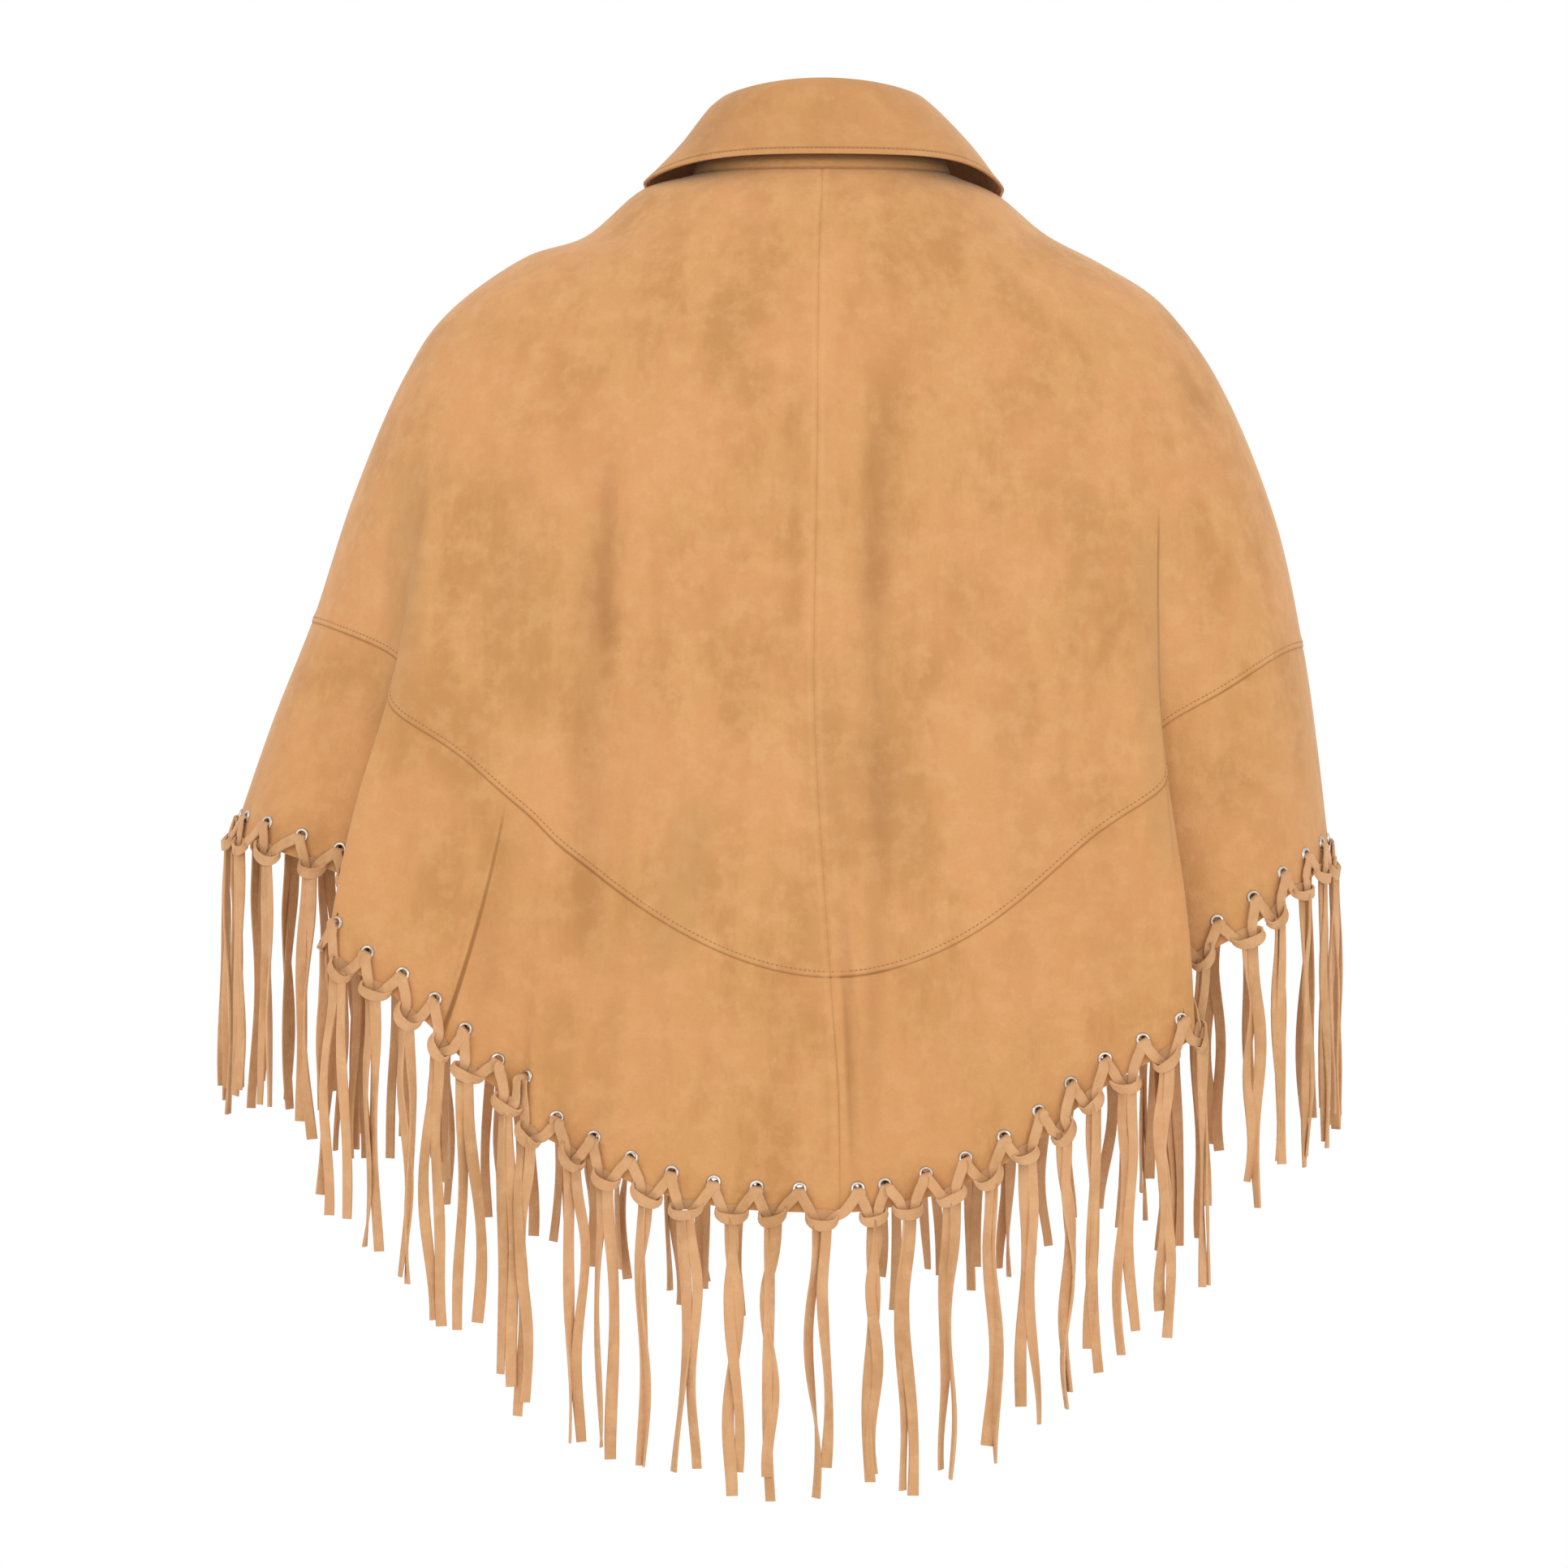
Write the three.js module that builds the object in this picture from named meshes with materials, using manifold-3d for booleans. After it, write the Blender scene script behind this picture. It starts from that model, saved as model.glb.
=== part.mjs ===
// Suede fringe cape as it is worn: two backs, two fronts, a border sewn under each, a shirt collar,
// and a laced fringe round the hem. The inside is an empty hollow, open at the neck, front and hem.
// Millimetres, +Z up. The wearer faces +Y and the back faces -Y. The origin is the middle of the
// neck opening, level with the shoulder points beside the neck, where the shoulders carry the cape.
import * as THREE from 'three';
import Module from 'manifold-3d';

const wasm = await Module();
wasm.setup();

// Driving dimensions
const wall = 2.0; // suede with the glued and turned seam allowance
const seamGap = 0.4; // clear between two pieces, measured along the cloth
const shearedGap = 6; // how many times wider it gets where a fold shears the cloth flat along the seam
const borderStart = 0.74; // share of the way from neck to hem where the border is sewn on
const columnPitch = 40; // widest spacing of the cloth's columns, along the hem
const columnCrowding = 7; // how much closer the columns stand at a tight fold

// Lacing and fringe
const eyeletPitch = 25;
const eyeletRise = 13; // eyelet centre above the cut edge
const strapWidth = 5.4;
const strapThick = 1.4;
const strapStandoff = 1.0; // clear between the cloth and the lacing over it
const hollowStandoff = 6; // more of it where the lacing bridges a hollow of the folds
const knotDepth = 6;
const knotThick = 2.8;
const knotDrop = 4.2; // knot centre below the cut edge
const strandWidth = 5.6;
const strandThick = 1.5;
const strandGap = 1.2; // between a knot's two strands at the root
const strandLength = 146; // from a knot's lower edge to the mean cut end
const strandLengthSpread = 11;
const strandSway = 2.4;

// Rings of the cloth from the neck seam to the hem: half width and height at each shoulder line,
// distance behind and height at centre back, distance in front and height at centre front,
// squareness of the plan, how pointed and how spread the drop from the shoulder line is on each
// side, half the front opening, and how far the centre back hangs to the right.
const ringRows = [
  { at: 0.00, left: 78, leftZ: 6, right: 78, rightZ: 6,
    back: 62, backZ: 4, front: 66, frontZ: -52,
    square: 2.00, tipLeft: 2.0, spreadLeft: 1.0, tipRight: 2.0, spreadRight: 1.0, opening: 8, seamX: 0 },
  { at: 0.07, left: 107, leftZ: -2, right: 105, rightZ: -5,
    back: 77, backZ: -16, front: 80, frontZ: -72,
    square: 2.00, tipLeft: 2.0, spreadLeft: 1.0, tipRight: 2.0, spreadRight: 1.0, opening: 8, seamX: -0.5 },
  { at: 0.15, left: 142, leftZ: -31, right: 136, rightZ: -30,
    back: 92, backZ: -44, front: 96, frontZ: -98,
    square: 2.05, tipLeft: 2.0, spreadLeft: 1.0, tipRight: 2.0, spreadRight: 1.0, opening: 9, seamX: -2 },
  { at: 0.22, left: 176, leftZ: -42, right: 168, rightZ: -47,
    back: 104, backZ: -76, front: 108, frontZ: -126,
    square: 2.10, tipLeft: 2.0, spreadLeft: 1.0, tipRight: 2.0, spreadRight: 1.0, opening: 10, seamX: -2.6 },
  { at: 0.29, left: 209, leftZ: -63, right: 200, rightZ: -67,
    back: 115, backZ: -112, front: 118, frontZ: -152,
    square: 2.15, tipLeft: 2.0, spreadLeft: 1.1, tipRight: 2.0, spreadRight: 1.1, opening: 11, seamX: -3 },
  { at: 0.36, left: 232, leftZ: -85, right: 224, rightZ: -95,
    back: 125, backZ: -152, front: 125, frontZ: -186,
    square: 2.20, tipLeft: 2.0, spreadLeft: 1.2, tipRight: 2.0, spreadRight: 1.2, opening: 12, seamX: -3.2 },
  { at: 0.44, left: 250, leftZ: -115, right: 243, rightZ: -127,
    back: 133, backZ: -205, front: 130, frontZ: -224,
    square: 2.30, tipLeft: 2.0, spreadLeft: 1.3, tipRight: 1.9, spreadRight: 1.4, opening: 13, seamX: -4 },
  { at: 0.58, left: 279, leftZ: -180, right: 271, rightZ: -198,
    back: 141, backZ: -318, front: 134, frontZ: -305,
    square: 2.45, tipLeft: 1.9, spreadLeft: 1.5, tipRight: 1.8, spreadRight: 1.6, opening: 15, seamX: -5 },
  { at: 0.74, left: 306, leftZ: -262, right: 288, rightZ: -277,
    back: 147, backZ: -469, front: 133, frontZ: -400,
    square: 2.60, tipLeft: 1.9, spreadLeft: 1.45, tipRight: 2.05, spreadRight: 1.72, opening: 17, seamX: 4 },
  { at: 0.87, left: 329, leftZ: -322, right: 297, rightZ: -340,
    back: 150, backZ: -534, front: 132, frontZ: -462,
    square: 2.65, tipLeft: 2.45, spreadLeft: 1.85, tipRight: 2.0, spreadRight: 1.55, opening: 19, seamX: 8.5 },
  { at: 1.00, left: 352, leftZ: -390, right: 304, rightZ: -404,
    back: 152, backZ: -603, front: 131, frontZ: -528,
    square: 2.70, tipLeft: 3.0, spreadLeft: 2.2, tipRight: 2.0, spreadRight: 1.45, opening: 22, seamX: 9.6 },
];

// Folds: which half they are on, where their line lies halfway down and at the hem, where they start
// and reach full depth, how far the crest towards the centre stands out, how far the trough beyond
// it goes in, how far the crest laps over the trough, and the width of one flank.
const foldRows = [
  { half: 'back', midX: -226, hemX: -279, start: 0.44, full: 0.95, crest: 8, trough: 22, lap: 22, flank: 23 },
  { half: 'back', midX: 191, hemX: 203, start: 0.44, full: 0.95, crest: 8, trough: 22, lap: 22, flank: 23 },
  { half: 'back', midX: -150, hemX: -176, start: 0.62, full: 1.0, crest: 5, trough: 5, lap: 4, flank: 14 },
  { half: 'back', midX: -122, hemX: -128, start: 0.4, full: 0.9, crest: 0, trough: 6, lap: 0, flank: 26 },
  { half: 'back', midX: 26, hemX: 30, start: 0.2, full: 0.9, crest: 0, trough: 6, lap: 0, flank: 20 },
  { half: 'back', midX: 96, hemX: 118, start: 0.5, full: 1.0, crest: 5, trough: 3, lap: 0, flank: 24 },
  { half: 'front', midX: -206, hemX: -232, start: 0.42, full: 0.95, crest: 9, trough: 17, lap: 15, flank: 24 },
  { half: 'front', midX: 178, hemX: 196, start: 0.42, full: 0.95, crest: 9, trough: 17, lap: 14, flank: 24 },
  { half: 'front', midX: -112, hemX: -126, start: 0.36, full: 1.0, crest: 7, trough: 8, lap: 3, flank: 24 },
  { half: 'front', midX: 98, hemX: 108, start: 0.4, full: 1.0, crest: 8, trough: 7, lap: 3, flank: 23 },
];

// Rings of the collar. The stand rises from the neck seam, and the fall turns over it and lies out
// over the shoulders to its points. Behind, its edge stays level for longer on the left and right.
const standRows = [
  { at: 0.0, left: 78, leftZ: 6.7, right: 78, rightZ: 6.7,
    back: 62, backZ: 4.7, front: 66, frontZ: -51.2, opening: 9 },
  { at: 0.5, left: 68, leftZ: 28, right: 69, rightZ: 28,
    back: 53, backZ: 31, front: 61, frontZ: -39, opening: 9 },
  { at: 1.0, left: 60, leftZ: 48, right: 61, rightZ: 48,
    back: 47, backZ: 56, front: 56, frontZ: -28, opening: 9 },
];
const fallRows = [
  { at: 0.0, left: 61, leftZ: 52.5, right: 62, rightZ: 52.5,
    back: 46.5, backZ: 59.5, front: 58.5, frontZ: -20, opening: 9, levelLeft: 0, levelRight: 0 },
  { at: 0.12, left: 66, leftZ: 48.5, right: 67, rightZ: 48.5,
    back: 52.5, backZ: 55, front: 67, frontZ: -25, opening: 14, levelLeft: 0, levelRight: 0 },
  { at: 0.5, left: 84, leftZ: 26, right: 89, rightZ: 26,
    back: 60.5, backZ: 35, front: 90, frontZ: -68, opening: 32, levelLeft: 0.5, levelRight: 1.2 },
  { at: 1.0, left: 107, leftZ: 2, right: 110, rightZ: -2,
    back: 68, backZ: 12, front: 120, frontZ: -126, opening: 50, levelLeft: 2, levelRight: 4.5 },
];
const collarShape = { square: 2, tipLeft: 2, spreadLeft: 1, tipRight: 2, spreadRight: 1 };

// A smooth curve through the rows of a table: each named column is a cubic in the rows' own place.
function rowAt(rows, place) {
  let i = 0;
  while (i < rows.length - 2 && place > rows[i + 1].at) i += 1;
  const slope = (k, name) => (rows[k + 1][name] - rows[k][name]) / (rows[k + 1].at - rows[k].at);
  const tangent = (k, name) => {
    if (k === 0) return slope(0, name);
    if (k === rows.length - 1) return slope(k - 1, name);
    const before = rows[k].at - rows[k - 1].at;
    const after = rows[k + 1].at - rows[k].at;
    return (slope(k, name) * before + slope(k - 1, name) * after) / (before + after);
  };
  const span = rows[i + 1].at - rows[i].at;
  const t = (place - rows[i].at) / span;
  const row = {};
  for (const name of Object.keys(rows[0])) {
    row[name] = (2 * t ** 3 - 3 * t ** 2 + 1) * rows[i][name]
      + (t ** 3 - 2 * t ** 2 + t) * span * tangent(i, name)
      + (3 * t ** 2 - 2 * t ** 3) * rows[i + 1][name]
      + (t ** 3 - t ** 2) * span * tangent(i + 1, name);
  }
  return row;
}

const eased = (t) => {
  const held = Math.min(1, Math.max(0, t));
  return held * held * (3 - 2 * held);
};

// A point of one ring. around runs from -1 at the left front edge, through -0.5 at the left shoulder
// line, 0 at centre back and 0.5 at the right shoulder line, to 1 at the right front edge.
function ringPoint(row, around) {
  const side = around < 0 ? -1 : 1;
  const halfWidth = side < 0 ? row.left : row.right;
  const sideZ = side < 0 ? row.leftZ : row.rightZ;
  const openAngle = (row.opening / halfWidth) ** (row.square / 2);
  const angle = Math.abs(around) * (Math.PI - openAngle);
  const across = Math.abs(Math.sin(angle)) ** (2 / row.square);
  const along = Math.abs(Math.cos(angle)) ** (2 / row.square);
  const isBack = Math.cos(angle) > 0;
  const depth = isBack ? row.back : row.front;
  const endZ = isBack ? row.backZ : row.frontZ;
  const level = (side < 0 ? row.levelLeft : row.levelRight) ?? 0;
  const tip = (side < 0 ? row.tipLeft : row.tipRight) + (isBack ? level : 0);
  const spread = side < 0 ? row.spreadLeft : row.spreadRight;
  const climb = 1 - (1 - Math.min(1, across) ** tip) ** spread;
  const hang = isBack ? (row.seamX ?? 0) * (1 - Math.min(1, across) ** 2) ** 3 : 0;
  const point = new THREE.Vector3(
    side * halfWidth * across + hang, (isBack ? -1 : 1) * depth * along, endZ + (sideZ - endZ) * climb);
  const outward = new THREE.Vector3(
    side * across ** (row.square - 1) / halfWidth,
    (isBack ? -1 : 1) * along ** (row.square - 1) / depth, 0).normalize();
  return { point, outward, side, isBack, flatX: halfWidth * across };
}

// A point of the cape's outer face: its ring's point, moved by the folds that pass there.
function capePoint(around, down) {
  const { point, outward, side, isBack, flatX } = ringPoint(rowAt(ringRows, down), around);
  const sideways = new THREE.Vector3(-outward.y, outward.x, 0);
  if (sideways.x * side < 0) sideways.negate();
  let out = 0;
  let lapped = 0;
  for (const fold of foldRows) {
    if ((fold.half === 'back') !== isBack || Math.sign(fold.hemX) !== side) continue;
    const lineX = Math.abs(fold.midX + (fold.hemX - fold.midX) * (down - 0.5) / 0.5);
    const depth = eased((down - fold.start) / (fold.full - fold.start));
    const away = (flatX - lineX) / fold.flank;
    const crest = fold.crest * Math.exp(-((away + 0.8) ** 2));
    const trough = fold.trough * Math.exp(-((away - 0.8) ** 2));
    out += depth * (crest - trough);
    lapped -= depth * fold.lap * 2.33 * away * Math.exp(-away * away);
  }
  return point.addScaledVector(outward, out).addScaledVector(sideways, lapped);
}

const standPoint = (around, up) => ringPoint({ ...rowAt(standRows, up), ...collarShape }, around).point;
const fallPoint = (around, down) => ringPoint({ ...rowAt(fallRows, down), ...collarShape }, around).point;

// The two directions of a surface at a point, and its outward normal. downSign is 1 where the second
// parameter runs down the garment and -1 where it runs up.
function surfaceFrame(surface, around, down, downSign = 1) {
  const step = 1e-4;
  const a0 = Math.max(-1, around - step);
  const a1 = Math.min(1, around + step);
  const d0 = Math.max(0, down - step);
  const d1 = Math.min(1, down + step);
  const across = surface(a1, down).sub(surface(a0, down)).divideScalar(a1 - a0);
  const along = surface(around, d1).sub(surface(around, d0)).divideScalar(d1 - d0);
  const normal = along.clone().cross(across).multiplyScalar(downSign).normalize();
  return { across, along, normal };
}

function solidFrom(vertices, triangles) {
  return new wasm.Manifold(new wasm.Mesh({
    numProp: 3,
    vertProperties: new Float32Array(vertices.flatMap((p) => [p.x, p.y, p.z])),
    triVerts: new Uint32Array(triangles.flat()),
  }));
}

function geometryFrom(solid) {
  const mesh = solid.getMesh();
  const geometry = new THREE.BufferGeometry();
  geometry.setAttribute('position', new THREE.BufferAttribute(new Float32Array(mesh.vertProperties), 3));
  geometry.setIndex(new THREE.BufferAttribute(new Uint32Array(mesh.triVerts), 1));
  geometry.computeVertexNormals();
  return geometry;
}

// A wall of cloth over a grid of places on a surface: an outer face, an inner face one wall inside
// it, and the cut edges all round. seams names the edges that are sewn to a neighbour, which stand
// back by half the gap, measured square to the edge.
function clothWall(surface, columns, rows, seams = {}, downSign = 1) {
  const outer = [];
  const inner = [];
  const lastRow = rows.length - 1;
  const lastColumn = columns.length - 1;
  rows.forEach((rowPlace, r) => {
    columns.forEach((columnPlace, c) => {
      const { across, along } = surfaceFrame(surface, columnPlace, rowPlace);
      const square = across.clone().cross(along).length();
      const gap = seamGap * (1 + (shearedGap - 1) * (1 - square / (across.length() * along.length())) ** 2);
      const rowMove = (gap / 2) * across.length() / square;
      const columnMove = (gap / 2) * along.length() / square;
      const downShift = (r === 0 && seams.top ? rowMove : 0)
        - (r === lastRow && seams.bottom ? rowMove : 0);
      const aroundShift = (c === 0 && seams.first ? columnMove : 0)
        - (c === lastColumn && seams.last ? columnMove : 0);
      const point = surface(columnPlace + aroundShift, rowPlace + downShift);
      const { normal } = surfaceFrame(surface, columnPlace + aroundShift, rowPlace + downShift, downSign);
      outer.push(point);
      inner.push(point.clone().addScaledVector(normal, -wall));
    });
  });
  const wide = columns.length;
  const count = outer.length;
  const triangles = [];
  const quad = (a, b, c, d) => triangles.push([a, b, c], [a, c, d]);
  for (let r = 0; r < lastRow; r += 1) {
    for (let c = 0; c < lastColumn; c += 1) {
      const at = r * wide + c;
      quad(at, at + wide, at + wide + 1, at + 1);
      quad(count + at, count + at + 1, count + at + wide + 1, count + at + wide);
    }
  }
  const rim = [];
  for (let c = 0; c < lastColumn; c += 1) rim.push(c);
  for (let r = 0; r < lastRow; r += 1) rim.push(r * wide + lastColumn);
  for (let c = lastColumn; c > 0; c -= 1) rim.push(lastRow * wide + c);
  for (let r = lastRow; r > 0; r -= 1) rim.push(r * wide);
  rim.forEach((at, i) => {
    const next = rim[(i + 1) % rim.length];
    quad(at, next, count + next, count + at);
  });
  const facing = downSign > 0 ? triangles : triangles.map(([a, b, c]) => [a, c, b]);
  return solidFrom([...outer, ...inner], facing);
}

// Columns between two seams, closer together where a fold passes.
function clothColumns(from, to) {
  const fine = 400;
  const places = Array.from({ length: fine + 1 }, (_, i) => from + (to - from) * i / fine);
  const wanted = [0];
  for (let i = 1; i <= fine; i += 1) {
    const here = capePoint(places[i], 1);
    const length = here.distanceTo(capePoint(places[i - 1], 1));
    const isBack = Math.abs(places[i]) < 0.5;
    const crowd = foldRows
      .filter((fold) => (fold.half === 'back') === isBack)
      .reduce((sum, fold) => sum + Math.min(1, 0.3 + fold.lap / 10)
        * Math.exp(-(((here.x - fold.hemX) / fold.flank) ** 2)), 0);
    wanted.push(wanted[i - 1] + length * (1 + columnCrowding * Math.min(1, crowd)) / columnPitch);
  }
  const steps = Math.ceil(wanted[fine]);
  const columns = [];
  for (let k = 0; k <= steps; k += 1) {
    const target = wanted[fine] * k / steps;
    let i = 1;
    while (i < fine && wanted[i] < target) i += 1;
    const share = (target - wanted[i - 1]) / (wanted[i] - wanted[i - 1]);
    columns.push(places[i - 1] + (places[i] - places[i - 1]) * share);
  }
  return columns;
}

// Eyelet places round the hem, an even pitch apart, from the left front edge to the right.
function eyeletPlaces() {
  const fine = 4000;
  const lengths = [0];
  let before = capePoint(-1, 1);
  for (let i = 1; i <= fine; i += 1) {
    const here = capePoint(-1 + 2 * i / fine, 1);
    lengths.push(lengths[i - 1] + here.distanceTo(before));
    before = here;
  }
  const edge = 11; // first and last eyelet from the front edges
  const count = Math.round((lengths[fine] - 2 * edge) / eyeletPitch) + 1;
  const places = [];
  let i = 1;
  for (let k = 0; k < count; k += 1) {
    const target = edge + (lengths[fine] - 2 * edge) * k / (count - 1);
    while (i < fine && lengths[i] < target) i += 1;
    places.push(-1 + 2 * (i - 1 + (target - lengths[i - 1]) / (lengths[i] - lengths[i - 1])) / fine);
  }
  return places;
}

// How far the lacing's inner face stands off the cloth at a place along the hem.
function laceStandoff(around) {
  const reach = 18 / surfaceFrame(capePoint, around, 1).across.length();
  const ends = [Math.max(-1, around - reach), Math.min(1, around + reach)];
  const [before, after] = ends.map((end) => surfaceFrame(capePoint, end, 1).normal);
  const chord = capePoint(ends[1], 1).sub(capePoint(ends[0], 1)).normalize();
  return strapStandoff + hollowStandoff * Math.max(0, before.sub(after).dot(chord));
}

// A place over the cloth near the hem, rise millimetres above the cut edge and measured square to
// it, and out from the cloth. Below the edge it carries on in the cloth's own direction.
function lacePlace(around, rise, out = 0) {
  const hem = surfaceFrame(capePoint, around, 1);
  const square = hem.across.clone().cross(hem.along).length();
  const down = Math.min(1, 1 - rise * hem.across.length() / square);
  const { normal } = surfaceFrame(capePoint, around, down);
  const edge = hem.across.clone().normalize();
  const middle = capePoint(around, down).addScaledVector(normal, out);
  if (rise < 0) middle.addScaledVector(edge.clone().cross(hem.normal).normalize(), -rise);
  return { middle, normal, edge };
}

// A repeatable number from 0 to 1 for strand i and use k.
const scatter = (i, k) => {
  const wave = Math.sin(i * 12.9898 + k * 78.233) * 43758.5453;
  return wave - Math.floor(wave);
};

// The corners of a hanging strand's lower sections, from the corners of its root.
function strandSections(root, normal, hand, index) {
  const strand = index * 2 + (hand > 0 ? 1 : 0);
  const face = new THREE.Vector3(normal.x, normal.y, 0).normalize();
  const side = new THREE.Vector3(-face.y, face.x, 0);
  const middle = root.reduce((sum, p) => sum.add(p), new THREE.Vector3()).divideScalar(4);
  const length = strandLength + strandLengthSpread * (2 * scatter(strand, 1) - 1);
  const turn = 1.2 * (scatter(strand, 2) - 0.5);
  const sway = strandSway * (2 * scatter(index, 3) - 1);
  return [0.5, 1].map((share) => {
    const cosTurn = Math.cos(turn * share);
    const sinTurn = Math.sin(turn * share);
    const across = side.clone().multiplyScalar(cosTurn).addScaledVector(face, sinTurn);
    const out = face.clone().multiplyScalar(cosTurn).addScaledVector(side, -sinTurn);
    const centre = middle.clone()
      .addScaledVector(side, hand * share * (1 + 3 * scatter(strand, 4)) + sway * Math.sin(3.1 * share))
      .addScaledVector(face, 2.4 * (scatter(strand, 5) - 0.3) * share);
    centre.z -= length * share;
    return [[-1, -1], [-1, 1], [1, 1], [1, -1]].map(([s, f]) => centre.clone()
      .addScaledVector(across, s * strandWidth / 2).addScaledVector(out, f * strandThick / 2));
  });
}

// One length of lace with its fringe: a flat thong that zigzags from each eyelet down over the cut
// edge and up to the next, thickened to a knot under the edge, with two strands hanging from each
// knot. It is one closed surface: the lace's sections in turn, and each strand in place of the
// underside between two of them.
function laceWithFringe(eyelets, firstIndex, startShare, endShare) {
  const drop = eyeletRise + knotDrop;
  const strapHeight = strapWidth * Math.hypot(eyeletPitch / 2, drop) / (eyeletPitch / 2);
  const rootInner = strandGap / 2;
  const rootOuter = strandGap / 2 + strandWidth;
  const places = [];
  for (let i = 0; i < eyelets.length - 1; i += 1) {
    const centre = (eyelets[i] + eyelets[i + 1]) / 2;
    const perMillimetre = 1 / surfaceFrame(capePoint, centre, 1).across.length();
    const turned = lacePlace(eyelets[i], 0).normal.angleTo(lacePlace(eyelets[i + 1], 0).normal);
    const steps = turned > 0.8 ? 7 : turned > 0.35 ? 4 : turned > 0.15 ? 2 : 1;
    const shares = Array.from({ length: steps }, (_, k) => k / steps);
    const down = shares.map((share) => Math.max(share, i === 0 ? startShare : 0));
    const lastShare = i === eyelets.length - 2 ? endShare : 0;
    const up = [...shares].reverse().map((share) => Math.max(share, lastShare));
    const kneeStart = centre - rootOuter * perMillimetre;
    const kneeEnd = centre + rootOuter * perMillimetre;
    for (const share of down) {
      const around = eyelets[i] + (kneeStart - eyelets[i]) * share;
      places.push({ around, rise: eyeletRise - drop * share });
    }
    places.push({ around: kneeStart, rise: -knotDrop, isKnot: true, hand: -1, index: firstIndex + i });
    places.push({ around: centre - rootInner * perMillimetre, rise: -knotDrop, isKnot: true });
    places.push({
      around: centre + rootInner * perMillimetre, rise: -knotDrop,
      isKnot: true, hand: 1, index: firstIndex + i,
    });
    places.push({ around: kneeEnd, rise: -knotDrop, isKnot: true });
    for (const share of up) {
      if (share === 0 && i < eyelets.length - 2) continue;
      const around = eyelets[i + 1] + (kneeEnd - eyelets[i + 1]) * share;
      places.push({ around, rise: eyeletRise - drop * share });
    }
  }
  const vertices = [];
  for (const { around, rise, isKnot } of places) {
    const height = isKnot ? knotDepth : strapHeight;
    const thick = isKnot ? knotThick : strapThick;
    const middle = laceStandoff(around) + strapThick / 2;
    for (const [up, out] of [[-1, -1], [-1, 1], [1, 1], [1, -1]]) {
      vertices.push(lacePlace(around, rise + up * height / 2, middle + out * thick / 2).middle);
    }
  }
  const triangles = [];
  const quad = (a, b, c, d) => triangles.push([a, c, b], [a, d, c]);
  quad(0, 3, 2, 1);
  places.forEach(({ around, hand, index }, i) => {
    if (i === places.length - 1) return;
    const at = i * 4;
    for (let k = hand ? 1 : 0; k < 4; k += 1) {
      const next = (k + 1) % 4;
      quad(at + k, at + next, at + 4 + next, at + 4 + k);
    }
    if (!hand) return;
    let ring = [at, at + 1, at + 5, at + 4];
    const { normal } = lacePlace(around, 0);
    for (const section of strandSections(ring.map((v) => vertices[v]), normal, hand, index)) {
      const lower = section.map((p) => vertices.push(p) - 1);
      for (let k = 0; k < 4; k += 1) {
        const next = (k + 1) % 4;
        quad(ring[k], ring[next], lower[next], lower[k]);
      }
      ring = lower;
    }
    quad(...ring);
  });
  const end = (places.length - 1) * 4;
  quad(end, end + 1, end + 2, end + 3);
  return solidFrom(vertices, triangles);
}

const upperRows = [0, 0.05, 0.11, 0.18, 0.26, 0.35, 0.45, 0.55, 0.65, borderStart];
const borderRows = [borderStart, 0.8, 0.9, 1];

const group = new THREE.Group();
function addPiece(name, solid, finish) {
  const mesh = new THREE.Mesh(geometryFrom(solid), finish);
  mesh.name = name;
  group.add(mesh);
}

const suede = new THREE.MeshStandardMaterial({ color: 0xd9a26b, roughness: 0.95, metalness: 0 });
const borderSuede = new THREE.MeshStandardMaterial({ color: 0xd69d66, roughness: 0.95, metalness: 0 });
const collarSuede = new THREE.MeshStandardMaterial({ color: 0xd79f68, roughness: 0.95, metalness: 0 });
const laceSuede = new THREE.MeshStandardMaterial({ color: 0xd2a06c, roughness: 0.9, metalness: 0 });

// Backs, fronts and the border under each
const quarters = [
  { name: 'front_left', from: -1, to: -0.5 },
  { name: 'back_left', from: -0.5, to: 0 },
  { name: 'back_right', from: 0, to: 0.5 },
  { name: 'front_right', from: 0.5, to: 1 },
];
for (const { name, from, to } of quarters) {
  const columns = clothColumns(from, to);
  const sides = { first: from > -1, last: to < 1 };
  addPiece(name, clothWall(capePoint, columns, upperRows, { ...sides, bottom: true }), suede);
  const border = clothWall(capePoint, columns, borderRows, { ...sides, top: true });
  addPiece('border_' + name, border, borderSuede);
}

// Collar
const collarColumns = Array.from({ length: 33 }, (_, i) => -1 + i / 16);
addPiece('collar_stand', clothWall(standPoint, collarColumns, [0, 0.5, 1], {}, -1), collarSuede);
addPiece('collar_fall', clothWall(fallPoint, collarColumns, [0, 0.12, 0.35, 0.65, 1]), collarSuede);

// Lacing and fringe, one length of lace along each piece of the border. A lace runs from its first
// eyelet to just short of the next lace's.
const eyelets = eyeletPlaces();
for (const { name, from, to } of quarters) {
  const first = eyelets.findIndex((place) => place >= from);
  let last = eyelets.findIndex((place) => place >= to);
  if (last < 0) last = eyelets.length - 1;
  addPiece('fringe_' + name, laceWithFringe(
    eyelets.slice(first, last + 1), first, 0.03, last < eyelets.length - 1 ? 0.12 : 0), laceSuede);
}

export default group;
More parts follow.
